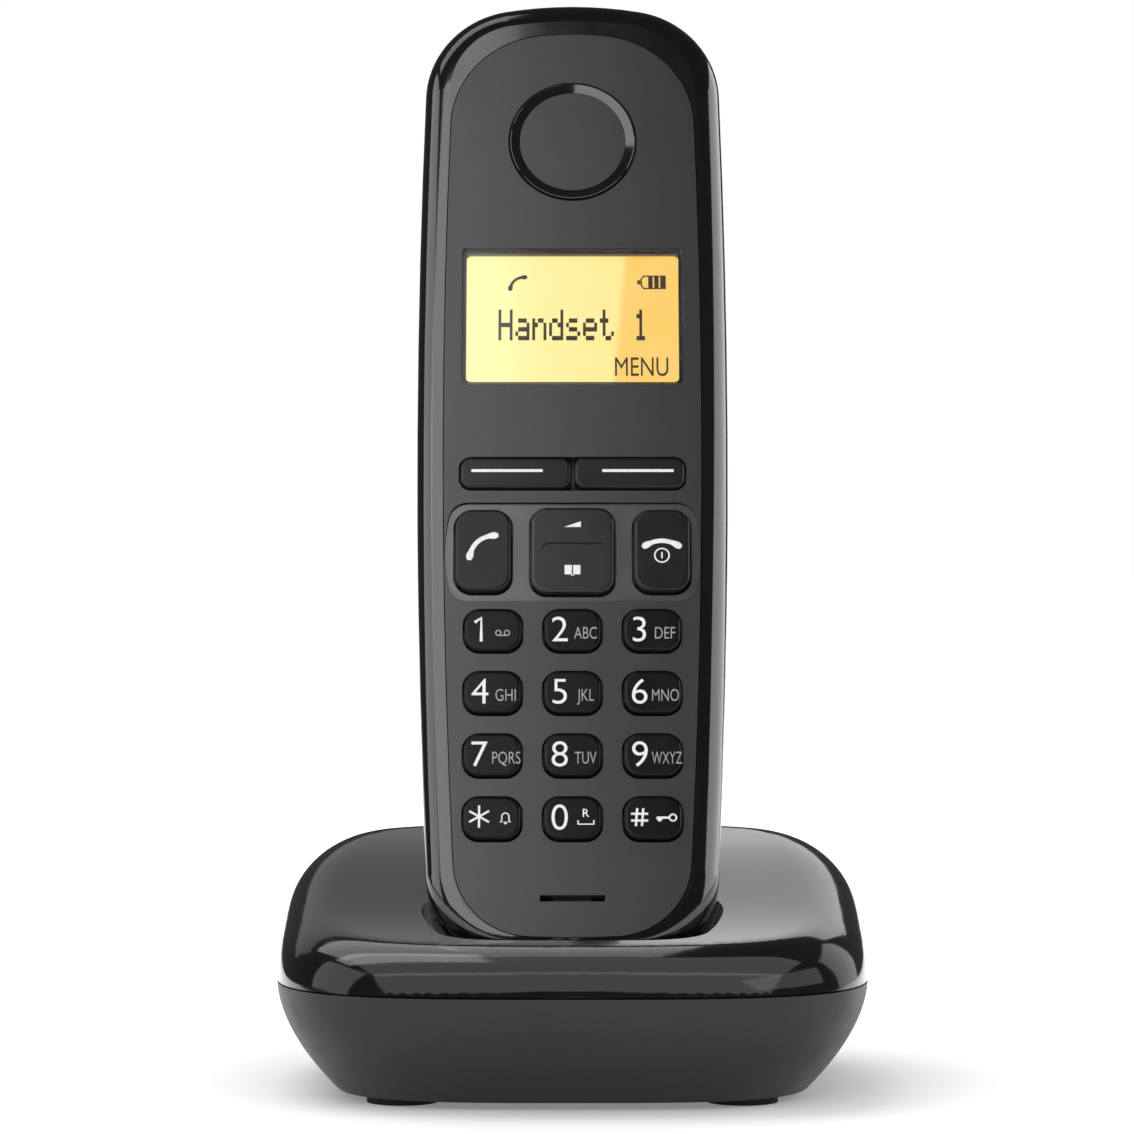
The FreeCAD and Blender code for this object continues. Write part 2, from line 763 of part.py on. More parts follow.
def shell_openings():
    """Tools that cut the rear shell: panel seat, ringer grille, charge pads and screws."""
    tools = [fixed("PanelSeat", panel_form(0, -size("front_radius"),
                                           size("panel_thick") + size("shell_wall")))]
    for i in range(5):
        tools.append(block("RingerSlot%d" % i, "ringer_width - 2", "cell_width + 10", "ringer_slot", "0",
                           "speaker_width / 2", EAR_HEIGHT + " + ringer_slot * 2 * %d" % (i - 2)))
    for i, sign in enumerate(("-", "")):
        tools.append(block("PadSlot%d" % i, "pad_width + panel_gap", "pad_deep + panel_gap",
                           "shell_wall + 4", sign + "pad_offset",
                           "pad_middle - (pad_deep + panel_gap) / 2", "-2"))
    tools += rods_at_posts("ShellBore", "screw_width + screw_gap", "post_split - 1", "cell_width + 10")
    tools += rods_at_posts("ShellSink", "screw_head + 2 * screw_gap", "screw_seat", "cell_width + 10")
    return tools


BAY_TALL = "(cell_length + 2 * spring_room + 2 * bay_wall)"


def battery_opening(name, shrink):
    """Rounded prism of the battery door, drawn in by shrink on each side."""
    return rounded_bar(name, "door_width - 2 * (%s)" % shrink,
                       "%s + 2 * door_over - 2 * (%s)" % (BAY_TALL, shrink), "door_corner",
                       "post_split", "cell_width + 12", "0", "bay_middle")


def rear_shell_and_door():
    outer = fixed("HandsetForm", handset_form(0))
    inner = fixed("HandsetCavity", handset_form(size("shell_wall")))
    hollow = cut("HandsetHollow", outer, [inner])
    posts = rods_at_posts("ShellPost", "post_width", "post_split", "cell_width + 12")
    clip = fixed("HandsetClip", handset_form(size("shell_wall") / 2))
    kept_posts = common("ShellPosts", [fuse("ShellPostRods", posts), clip])
    solid = fuse("ShellSolid", [hollow, kept_posts])
    tools = shell_openings() + [battery_opening("DoorOpening", "0")]
    keep_in_handset("rear_shell", cut("RearShell", solid, tools))

    cell_room = block("DoorCellRoom", "2 * cell_width + 3 * cell_gap", "cell_width + 2 * cell_gap",
                      "cell_length + 2 * spring_room", "0", depth(CELL_FRONT) + " - cell_gap",
                      "bay_middle - cell_length / 2 - spring_room")
    skin = cut("DoorSkin", fixed("DoorForm", handset_form(0)),
               [fixed("DoorCavity", handset_form(size("door_wall"))), cell_room])
    door = common("DoorBlank", [skin, battery_opening("DoorOutline", "door_gap")])
    grips = [block("DoorGrip%d" % i, "door_width / 2", "1.5", "0.6", "0", "%s - 0.5" % depth(DEEPEST),
                   "bay_middle + cell_length / 2 - 2 * %d" % i) for i in range(4)]
    keep_in_handset("battery_door", cut("BatteryDoor", door, grips))


# ---------------------------------------------------------------- handset: display and boards

def display():
    window = rounded_bar("DisplayWindow", "window_width", "window_height", "window_corner",
                         "window_sunk", "window_thick - window_sunk")
    seat(window, "0", "0", "window_centre")
    keep("display_window", window)
    glass_front = "panel_thick + glass_gap"
    keep_in_handset("lcd_glass", block("LcdGlass", "window_width", "glass_thick", "window_height", "0",
                                       glass_front, "window_centre - window_height / 2"))
    light_front = glass_front + " + glass_thick"
    keep_in_handset("lcd_backlight", block("LcdBacklight", "window_width",
                                           "%s - (%s)" % (depth(BOARD_FRONT), light_front),
                                           "window_height", "0", light_front,
                                           "window_centre - window_height / 2"))


def keypad_mat():
    low = "(key_first_row - 3 * key_pitch_down - key_height / 2 - key_flange - mat_margin)"
    high = "(soft_centre + soft_height)"
    plate = block("MatPlate", "2 * (call_offset + call_width / 2)", "mat_thick", high + " - " + low, "0",
                  depth(MAT_FRONT), low)
    keep_in_handset("keypad_mat", plate)


def key_domes():
    places = [(across, up) for name, across, up in key_places()]
    places += [(sign + "(soft_width + soft_split) / 2", "soft_centre") for sign in ("-", "")]
    places += [(sign + "call_offset", "call_centre") for sign in ("-", "")]
    places += [("0", "call_centre %s rocker_height / 4" % sign) for sign in ("-", "+")]
    domes = [rod("Dome%d" % i, "dome_width", "dome_thick", x, depth(BOARD_FRONT) + " - dome_thick", z,
                 along="Y") for i, (x, z) in enumerate(places, start=1)]
    keep_in_handset("key_domes", group("KeyDomes", domes))


def handset_board():
    plate = rounded_bar("BoardPlate", "board_width", "handset_length - board_below_head - board_low",
                        "board_corner", depth(BOARD_FRONT), "board_thick", "0",
                        "(handset_length - board_below_head + board_low) / 2")
    holes = rods_at_posts("BoardHole", "post_width + 2 * screw_gap", depth(BOARD_FRONT) + " - 1",
                          "board_thick + 2")
    keep_in_handset("handset_board", cut("HandsetBoard", plate, holes))


# Stock parts on the handset's board: width, thickness, height, place across, lower edge.
HANDSET_PARTS = {
    "RadioCan": ("20", "2.4", "20", "-6", "window_centre - 17"),
    "Processor": ("9", "1.2", "9", "11", "window_centre - 10"),
    "Memory": ("5", "1.0", "6", "11", "window_centre - 17"),
    "PowerCoil": ("6", "2.6", "6", "-11", "soft_centre - 3"),
    "BoardPlug": ("8", "2.8", "4", "10", "soft_centre - 2"),
}


def handset_components():
    back = depth(BOARD_BACK)
    parts = [block(name, wide, thick, tall, across, back, low)
             for name, (wide, thick, tall, across, low) in HANDSET_PARTS.items()]
    parts.append(rod("PowerCap", "cap_width", "cap_tall", "0", back, "soft_centre", along="Y"))
    keep_in_handset("handset_components", group("HandsetComponents", parts))
    low = "handset_length - board_below_head - aerial_drop"
    metal = []
    for side, sign in (("Left", "-"), ("Right", "")):
        metal.append(block("Aerial" + side, "aerial_wide", "aerial_thick", "aerial_tall",
                           sign + "aerial_offset", back + " + aerial_lift", low))
        metal.append(block("AerialLeg" + side, "aerial_leg", "aerial_lift", "aerial_leg",
                           sign + "aerial_offset", back, low))
    keep_in_handset("handset_aerial", fuse("HandsetAerial", metal))


def sound_parts():
    keep_in_handset("earpiece_speaker", rod("EarSpeaker", "speaker_width", "speaker_thick", "0",
                                            "panel_thick + glass_gap", EAR_HEIGHT, along="Y"))
    keep_in_handset("microphone", rod("Microphone", "mic_width", "mic_thick", "0",
                                      depth(BOARD_FRONT) + " - mic_thick", "mic_height", along="Y"))
    keep_in_handset("ringer_speaker", rod("Ringer", "ringer_width", "ringer_thick", "0",
                                          "head_depth - shell_wall - ringer_thick", EAR_HEIGHT,
                                          along="Y"))


# ---------------------------------------------------------------- handset: battery bay

CELL_OFFSET = "(cell_width / 2 + cell_gap / 2)"


def battery_cell(node, sign):
    """Cell on its end, turned about its own axis, with the nub at the top."""
    body = new_body(node.title().replace("_", ""))
    profile = sketch_on(body, "XZ_Plane", body.Name + "Profile")
    polygon(profile, [
        ("0", "0"),
        ("cell_width / 2", "0"),
        ("cell_width / 2", "cell_length - nub_long"),
        ("nub_width / 2", "cell_length - nub_long"),
        ("nub_width / 2", "cell_length"),
        ("0", "cell_length"),
    ])
    turn(body, profile, body.Name + "Turn")
    seat(body, sign + CELL_OFFSET, "%s + cell_width / 2" % depth(CELL_FRONT),
         "bay_middle - cell_length / 2")
    keep(node, body)


def battery_bay():
    wide = "(2 * cell_width + 3 * cell_gap)"
    deep = "(2 * cell_gap + cell_width - bay_back_gap)"
    outer = block("BayOuter", wide + " + 2 * bay_wall", "bay_wall + " + deep, BAY_TALL, "0",
                  depth(BAY_FRONT), "bay_middle - %s / 2" % BAY_TALL)
    inner = block("BayInner", wide, "2 * cell_width", BAY_TALL + " - 2 * bay_wall", "0",
                  depth(BAY_FRONT) + " + bay_wall", "bay_middle - %s / 2 + bay_wall" % BAY_TALL)
    keep_in_handset("battery_bay", cut("BatteryBay", outer, [inner]))

    plates = []
    for end, z in (("Low", "bay_middle - %s / 2 + bay_wall" % BAY_TALL),
                   ("High", "bay_middle + %s / 2 - bay_wall - plate_thick" % BAY_TALL)):
        for side, sign in (("Left", "-"), ("Right", "")):
            plates.append(block("Plate" + end + side, "cell_width * 0.8", "cell_width * 0.8",
                                "plate_thick", sign + CELL_OFFSET,
                                "%s + cell_width * 0.1" % depth(CELL_FRONT), z))
    keep_in_handset("battery_plates", group("BatteryPlates", plates))

    coils = []
    for side, sign in (("Left", "-"), ("Right", "")):
        for turn_number in range(4):
            coil = doc.addObject("Part::Torus", "Coil%s%d" % (side, turn_number))
            bind(coil, {
                "Radius1": "cell_width * (0.36 - 0.05 * %d)" % turn_number,
                "Radius2": "spring_wire / 2",
                "Placement.Base.x": sign + CELL_OFFSET,
                "Placement.Base.y": "%s + cell_width / 2" % depth(CELL_FRONT),
                "Placement.Base.z": "bay_middle - cell_length / 2 - spring_wire / 2"
                                    " - %d * (spring_room - plate_thick - spring_wire) / 3" % turn_number,
            })
            coils.append(coil)
    keep_in_handset("battery_springs", group("BatterySprings", coils))


def handset_screws():
    screws = []
    for i, (x, z) in enumerate(post_places(), start=1):
        shank = rod("Shank%d" % i, "screw_width", "screw_seat - post_split + screw_grip", x,
                    "post_split - screw_grip", z, along="Y")
        head = rod("Head%d" % i, "screw_head", "screw_head_tall", x, "screw_seat", z, along="Y")
        slot = block("Slot%d" % i, "screw_head + 1", "screw_head_tall", "0.6", x,
                     "screw_seat + screw_head_tall / 2", z + " - 0.3")
        screws.append(cut("Screw%d" % i, fuse("ScrewBlank%d" % i, [shank, head]), [slot]))
    keep_in_handset("handset_screws", group("HandsetScrews", screws))


def charge_pads():
    for node, sign in (("charge_pad_left", "-"), ("charge_pad_right", "")):
        keep_in_handset(node, block(node.title().replace("_", ""), "pad_width", "pad_deep", "pad_thick",
                                    sign + "pad_offset", "pad_middle - pad_deep / 2", "pad_sunk"))


# ---------------------------------------------------------------- base: shells

def in_handset_place(shape):
    """A handset-frame shape moved to where the handset stands."""
    moved = shape.copy()
    moved.Placement = Placement(Vector(0, size("chin_back"), size("chin_height")),
                                Rotation(Vector(1, 0, 0), -size("handset_lean")))
    return moved


BASE_POSTS = [(across + "(base_width / 2 - base_post_inset)", along + "base_post_along")
              for across in ("-", "") for along in ("-", "")]


def rods_at_base_posts(name, wide, low, long):
    return [rod("%s%d" % (name, i), wide, long, x, y, low)
            for i, (x, y) in enumerate(BASE_POSTS, start=1)]


def charge_pin_rods(name, wide, high, long):
    """Rods along the handset's length that end at the height high above its foot."""
    rods = []
    for i, sign in enumerate(("-", "")):
        piece = rod("%s%d" % (name, i), wide, long)
        seat(piece, sign + "pad_offset", "pad_middle", "%s - (%s)" % (high, long))
        rods.append(piece)
    return rods


def base_cover():
    outer = fixed("CoverForm", base_form(0, size("seam_height") + size("seam_gap")))
    inner = fixed("CoverCavity", base_form(size("cover_wall"), size("seam_height") - 1))
    hollow = cut("CoverHollow", outer, [inner])
    under = size("foot_pad_proud") + size("cover_wall") + 1
    deep_form = fixed("CoverDeepForm", base_form(0, under))
    tub = fixed("TubOuter", in_handset_place(handset_form(-size("well_clearance") - size("tub_wall"))))
    tub_in_base = common("Tub", [tub, deep_form])
    bosses = common("CoverBosses", [
        fuse("CoverBossRods", rods_at_base_posts("CoverBoss", "base_post_width", "seam_height",
                                                 "rear_height - seam_height")),
        fixed("CoverBossClip", base_form(size("cover_wall") / 2, size("seam_height") - 1))])
    solid = fuse("CoverSolid", [hollow, tub_in_base, bosses])
    tools = [fixed("Well", in_handset_place(handset_form(-size("well_clearance"))))]
    tools += charge_pin_rods("PinHole", "pin_width + 2 * key_gap", "1", "pin_length + 2")
    tools += rods_at_base_posts("CoverThread", "screw_width", "seam_height - 1", "screw_grip + 1")
    tools.append(rod("PageHole", "page_width + 2 * page_gap", "3 * cover_wall", "0",
                     "base_depth / 2 - 2 * cover_wall", "page_height", along="Y"))
    keep("base_cover", cut("BaseCover", solid, tools))


def recess_block(name, grow, front, back_extra):
    return block(name, "recess_width + 2 * (%s)" % grow, "base_depth / 2 - recess_front + (%s)" % back_extra,
                 "jack_tall + 2 * (%s)" % grow, "0", "recess_front - (%s)" % front,
                 "main_board_height - jack_tall - (%s)" % grow)


def base_bottom():
    outer = fixed("BowlForm", bowl_form(0, size("seam_height")))
    inner = fixed("BowlCavity", bowl_form(size("cover_wall"), size("seam_height") + 2))
    hollow = cut("BowlHollow", outer, [inner])
    lip_inset = size("cover_wall") + size("panel_gap")
    lip_low = size("seam_height") - size("lip_drop")
    lip_high = size("seam_height") + size("lip_rise")
    lip_form = prism_of_plan(lip_inset, lip_low, lip_high)
    lip_bore = prism_of_plan(lip_inset + size("lip_wall"), lip_low - 1, lip_high + 1)
    lip_band = cut("LipBand", fixed("LipForm", lip_form), [fixed("LipBore", lip_bore)])
    posts = rods_at_base_posts("BowlPost", "base_post_width", "foot_pad_proud + cover_wall / 2",
                               "seam_height - foot_pad_proud - cover_wall / 2")
    room = common("RecessWalls", [recess_block("RecessOuter", "cover_wall / 2", "cover_wall / 2", "0"),
                                  fixed("RecessClip", bowl_form(0, size("seam_height")))])
    solid = fuse("BowlSolid", [hollow, lip_band, room] + posts)
    tools = [recess_block("Recess", "0", "0", "10")]
    for name, sign in (("Line", "-"), ("Power", "")):
        tools.append(block("JackWindow" + name, "jack_width + 2 * panel_gap", "3 * cover_wall",
                           "jack_tall", sign + "jack_offset", "recess_front - 1.5 * cover_wall",
                           "main_board_height - jack_tall"))
    tools += rods_at_base_posts("BowlBore", "screw_width + 2 * screw_gap", "0", "seam_height + 1")
    tools += rods_at_base_posts("BowlSink", "screw_head + 2 * screw_gap", "0", "base_screw_seat")
    tools += foot_rods("FootPocket", "foot_pad_width + panel_gap", "0", "foot_pad_proud + foot_pad_sunk")
    keep("base_bottom", cut("BaseBottom", solid, tools))


def prism_of_plan(inset, low, high):
    loop = Part.BSplineCurve()
    points = plan_points(size("base_width") / 2 - inset, size("base_depth") / 2 - inset, low, 0, 360, 48)
    loop.interpolate(points[:-1], PeriodicFlag=True)
    return Part.Face(Part.Wire(loop.toShape())).extrude(Vector(0, 0, high - low))


def foot_rods(name, wide, low, long):
    places = [(across + "foot_pad_across", along + "foot_pad_along")
              for across in ("-", "") for along in ("-", "")]
    return [rod("%s%d" % (name, i), wide, long, x, y, low)
            for i, (x, y) in enumerate(places, start=1)]


def base_feet():
    keep("base_feet", group("BaseFeet", foot_rods("FootPad", "foot_pad_width", "0",
                                                  "foot_pad_proud + foot_pad_sunk")))


def base_screws():
    shanks = rods_at_base_posts("BaseShank", "screw_width", "base_screw_seat",
                                "seam_height - base_screw_seat + screw_grip")
    heads = rods_at_base_posts("BaseHead", "screw_head", "base_screw_seat - screw_head_tall",
                               "screw_head_tall")
    slots = [block("BaseSlot%d" % i, "screw_head + 1", "0.6", "screw_head_tall", x, y + " - 0.3",
                   "base_screw_seat - 1.5 * screw_head_tall") for i, (x, y) in enumerate(BASE_POSTS, 1)]
    screws = [cut("BaseScrew%d" % i, fuse("BaseScrewBlank%d" % i, [shank, head]), [slot])
              for i, (shank, head, slot) in enumerate(zip(shanks, heads, slots), start=1)]
    keep("base_screws", group("BaseScrews", screws))


# ---------------------------------------------------------------- base: electronics

BOARD_TOP = "main_board_height + board_thick"


# Stock parts on the base's board: width, depth, height, place across, distance from the board's front.
BASE_PARTS = {
    "BaseRadioCan": ("22", "16", "2.8", "-8", "3"),
    "BaseProcessor": ("10", "10", "1.4", "14", "5"),
    "BaseCoil": ("7", "7", "4", "16", "18"),
}


def main_board():
    keep("base_board", block("MainBoard", "main_board_width", "main_board_length", "board_thick", "0",
                             "main_board_front", "main_board_height"))
    parts = [block(name, wide, deep, tall, across, "main_board_front + " + back, BOARD_TOP)
             for name, (wide, deep, tall, across, back) in BASE_PARTS.items()]
    parts += [rod("BaseCap" + side, "base_cap_width", "base_cap_tall", across,
                  "main_board_front + base_cap_back", BOARD_TOP)
              for side, across in (("Left", "-2 * base_cap_width / 3"), ("Right", "2 * base_cap_width / 3"))]
    keep("base_components", group("BaseComponents", parts))
    strips = []
    back = "main_board_front + main_board_length - fin_foot"
    for side, sign in (("Left", "-"), ("Right", "")):
        at = sign + "(main_board_width / 2 - fin_inset)"
        strips.append(block("BaseFin" + side, "fin_thick", "fin_foot", "3 * fin_foot", at, back, BOARD_TOP))
        strips.append(block("BaseFinTop" + side, "fin_thick", "4 * fin_foot", "fin_foot", at,
                            back + " - 3 * fin_foot", BOARD_TOP + " + 2 * fin_foot"))
    keep("base_aerial", fuse("BaseAerial", strips))


def jack(node, sign, wires):
    body = block(node.title().replace("_", ""), "jack_width", "jack_long", "jack_tall",
                 sign + "jack_offset", "recess_front - jack_long", "main_board_height - jack_tall")
    mouth_low = "(main_board_height - jack_tall / 2 - jack_mouth_tall / 2)"
    mouth_front = "recess_front - jack_mouth_deep"
    mouth = block(body.Name + "Mouth", "jack_mouth_width", "jack_mouth_deep + 1", "jack_mouth_tall",
                  sign + "jack_offset", mouth_front, mouth_low)
    latch = block(body.Name + "Latch", "jack_mouth_width / 3", "jack_mouth_deep + 1", "jack_latch",
                  sign + "jack_offset", mouth_front, "%s - jack_latch" % mouth_low)
    keep(node, cut(body.Name + "Shell", body, [mouth, latch]))
    strips = [block("%sWire%d" % (body.Name, i), "0.5", "jack_mouth_deep - 2", "0.6",
                    "%sjack_offset + %f * jack_wire_pitch" % (sign, i - (wires - 1) / 2),
                    mouth_front, "%s + jack_mouth_tall - 0.6" % mouth_low) for i in range(wires)]
    keep(node.replace("socket", "contacts"), group(body.Name + "Wires", strips))


def charge_contacts():
    """Two sprung pins along the handset's length, and the block that carries them."""
    top = "pad_sunk - pin_gap"
    under_tub = "-(well_clearance + tub_wall + key_gap + pin_flange_room)"
    for i, (node, sign) in enumerate((("charge_pin_left", "-"), ("charge_pin_right", ""))):
        pin = rod("Pin%d" % i, "pin_width", "pin_length", "0", "0", "-pin_length")
        collar = rod("PinCollar%d" % i, "pin_width + 2 * pin_collar", "pin_collar", "0", "0",
                     "%s - pin_collar - (%s)" % (under_tub, top))
        whole = fuse("ChargePin%d" % i, [pin, collar])
        seat(whole, sign + "pad_offset", "pad_middle", top)
        keep(node, whole)
    carrier_high = "(%s - pin_length + pin_sunk)" % top
    carrier = block("CarrierBlock", "2 * (pad_offset + carrier_margin)", "2 * carrier_margin", "carrier_tall")
    seat(carrier, "-(pad_offset + carrier_margin)", "pad_middle - carrier_margin",
         "%s - carrier_tall" % carrier_high)
    keep("contact_carrier", cut("ContactCarrier", carrier,
                                charge_pin_rods("CarrierBore", "pin_width + 2 * key_gap",
                                                carrier_high + " + 1", "4")))


def page_button():
    reach = "(cover_wall + page_gap + page_flange)"
    cap = rod("PageCap", "page_width", reach + " + page_proud", "0", "base_depth / 2 - " + reach,
              "page_height", along="Y")
    flange = rod("PageFlange", "page_width + 2 * page_flange", "page_flange", "0", "base_depth / 2 - " + reach,
                 "page_height", along="Y")
    keep("page_button", fuse("PageButton", [cap, flange]))
    button_back = "base_depth / 2 - %s - page_travel - key_play" % reach
    body = block("PageSwitchBody", "6", "page_switch_deep", "5", "0",
                 button_back + " - page_switch_deep", "page_height - 2.5")
    stem_back = button_back + " - page_switch_deep"
    stem = block("PageSwitchStem", "8", "1.6", "page_height + 3 - (%s)" % BOARD_TOP, "0",
                 stem_back + " - 1.6", BOARD_TOP)
    tongue_front = "(main_board_front + main_board_length - 3)"
    tongue = block("PageSwitchTongue", "8", "(%s) - %s" % (stem_back, tongue_front), "1", "0",
                   tongue_front, BOARD_TOP)
    keep("page_switch", fuse("PageSwitch", [body, stem, tongue]))


# ---------------------------------------------------------------- build, check and write

def build():
    face_panel()
    basin_trim()
    earpiece()
    rear_shell_and_door()
    display()
    number_keys()
    function_keys()
    keypad_mat()
    key_domes()
    handset_board()
    handset_components()
    sound_parts()
    battery_bay()
    battery_cell("battery_cell_left", "-")
    battery_cell("battery_cell_right", "")
    handset_screws()
    charge_pads()
    base_cover()
    base_bottom()
    base_feet()
    base_screws()
    main_board()
    jack("line_socket", "-", 4)
    jack("power_socket", "", 2)
    charge_contacts()
    page_button()


def write():
    doc.recompute()
    for thing in doc.Objects:
        if "Invalid" in thing.State or "Error" in thing.State:
            raise RuntimeError("%s failed: %s" % (thing.Name, thing.State))
    os.makedirs("parts", exist_ok=True)
    for thing in nodes:
        shape = thing.Shape
        if shape.isNull() or not shape.isValid() or not shape.Solids:
            raise RuntimeError("%s has no valid solid" % thing.Label)
        shape.exportStep(os.path.join("parts", thing.Label + ".step"))
        print("%-22s %2d solids %10.1f mm3" % (thing.Label, len(shape.Solids), shape.Volume))


build()
write()
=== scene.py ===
import json
import math
import bpy
from mathutils import Matrix, Vector

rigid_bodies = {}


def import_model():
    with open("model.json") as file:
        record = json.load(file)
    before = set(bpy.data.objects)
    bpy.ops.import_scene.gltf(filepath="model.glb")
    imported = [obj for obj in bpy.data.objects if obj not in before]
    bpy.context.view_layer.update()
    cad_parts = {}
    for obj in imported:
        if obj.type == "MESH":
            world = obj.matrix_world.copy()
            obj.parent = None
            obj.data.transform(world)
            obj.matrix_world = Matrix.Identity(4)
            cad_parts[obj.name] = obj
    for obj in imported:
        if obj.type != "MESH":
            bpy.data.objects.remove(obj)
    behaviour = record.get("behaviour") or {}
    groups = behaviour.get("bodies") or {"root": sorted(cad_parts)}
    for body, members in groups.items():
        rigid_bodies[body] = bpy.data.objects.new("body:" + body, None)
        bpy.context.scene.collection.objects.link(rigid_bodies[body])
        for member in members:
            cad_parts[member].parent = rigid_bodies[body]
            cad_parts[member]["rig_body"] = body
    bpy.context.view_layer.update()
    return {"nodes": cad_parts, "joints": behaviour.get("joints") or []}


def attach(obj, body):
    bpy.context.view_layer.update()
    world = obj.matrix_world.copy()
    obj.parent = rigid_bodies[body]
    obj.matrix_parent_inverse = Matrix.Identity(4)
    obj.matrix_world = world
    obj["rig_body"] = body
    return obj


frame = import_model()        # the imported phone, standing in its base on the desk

print("frame loaded:", len(frame["nodes"]), "nodes")

mm = 0.001

# the handset's own directions, from the way it lifts off the base
liftAxis = next(joint["axis"] for joint in frame["joints"] if joint["name"] == "handset_lift")
across = Vector((1, 0, 0))
up = Vector(liftAxis).normalized()
outward = across.cross(up)
handsetTurn = Matrix((across, up, outward)).transposed()
leanAngle = math.atan2(up.y, up.z)


def handsetBox(node):
    # lowest and highest values of a node along across, up and outward
    spots = [vertex.co for vertex in frame["nodes"][node].data.vertices]
    spans = [[spot.dot(axis) for spot in spots] for axis in (across, up, outward)]
    return Vector([min(span) for span in spans]), Vector([max(span) for span in spans])


def handsetPlace(x, height, out):
    return Matrix.Translation(across * x + up * height + outward * out) @ handsetTurn.to_4x4()


# ---- camera

cameraLook = {
    "away": 0.743,          # in front of the base's middle
    "height": 0.0947,
    "pitch": math.radians(1.02),
    "lens": 149.7,
    "sensor": 36.0,
    "shift": -0.00485,
}


def placeCamera(look):
    bpy.ops.object.camera_add(location=(0, -look["away"], look["height"]),
                              rotation=(math.pi / 2 - look["pitch"], 0, 0))
    camera = bpy.context.object
    camera.name = "deskCamera"
    camera.data.lens = look["lens"]
    camera.data.sensor_width = look["sensor"]
    camera.data.shift_x = look["shift"]
    camera.data.clip_start = 0.01
    bpy.context.scene.camera = camera


placeCamera(cameraLook)
bpy.context.scene.view_settings.view_transform = "Standard"


# ---- floor, backdrop and lights

studio = {
    "floorSize": 8.0,
    "floorColour": (0.90, 0.90, 0.90, 1),
    "floorRoughness": 0.9,
    "floorShine": 0.1,
    "shadowReach": (0.04, 0.22),    # from here on out the paper glows up to the backdrop's white
    "shadowGlow": (0.22, 1.0),
    "backdropColour": (1, 1, 1, 1),
    "dimSky": 0.06,                 # what the gloss sees where no light stands
    "lights": {
        # name: middle, aimed at, width, height, radiance, and the part that it lights
        "frontSoftbox": ((-0.635, -0.962, 0.568), (-0.635, -0.199, -0.078), 1.23, 0.93, 3.3, "handset"),
        "frontPanel": ((0.10, -0.962, 0.60), (0.10, -0.10, 0.02), 2.00, 0.90, 0.9, "base"),
        "crownPanel": ((0.10, -0.37, 1.05), (0.10, 0, 0.03), 2.00, 0.90, 0.8, "base"),
        "leftSoftbox": ((-1.15, -0.20, 0.50), (0, 0, 0.09), 0.90, 0.90, 2.4, "handset"),
        "leftPanel": ((-1.15, -0.20, 0.50), (0, 0, 0.09), 0.90, 0.90, 0.9, "base"),
        "topSoftbox": ((-0.58, 0.02, 1.10), (-0.58, 0.02, 0), 0.98, 0.46, 2.0, "all"),
        "rightStrip": ((1.118, 0.187, 0.42), (0, 0, 0.06), 1.87, 0.80, 3.0, "handset"),
        "rightPanel": ((0.95, 0.62, 0.42), (0, 0, 0.06), 0.70, 0.84, 0.9, "base"),
        "lipPanel": ((-0.425, 0.434, 1.004), (-0.425, 0, 0.03), 1.03, 0.776, 1.5, "base"),
        "slopePanelLeft": ((-0.55, 1.10, 0.615), (-0.55, 0, 0.03), 1.10, 0.46, 0.30, "base"),
        "slopePanelRight": ((0.32, 1.10, 0.615), (0.32, 0, 0.03), 0.60, 0.46, 1.1, "base"),
        "bandPanel": ((0.88, -0.468, 0.49), (0, 0, 0.03), 1.10, 0.45, 0.7, "base"),
    },
}


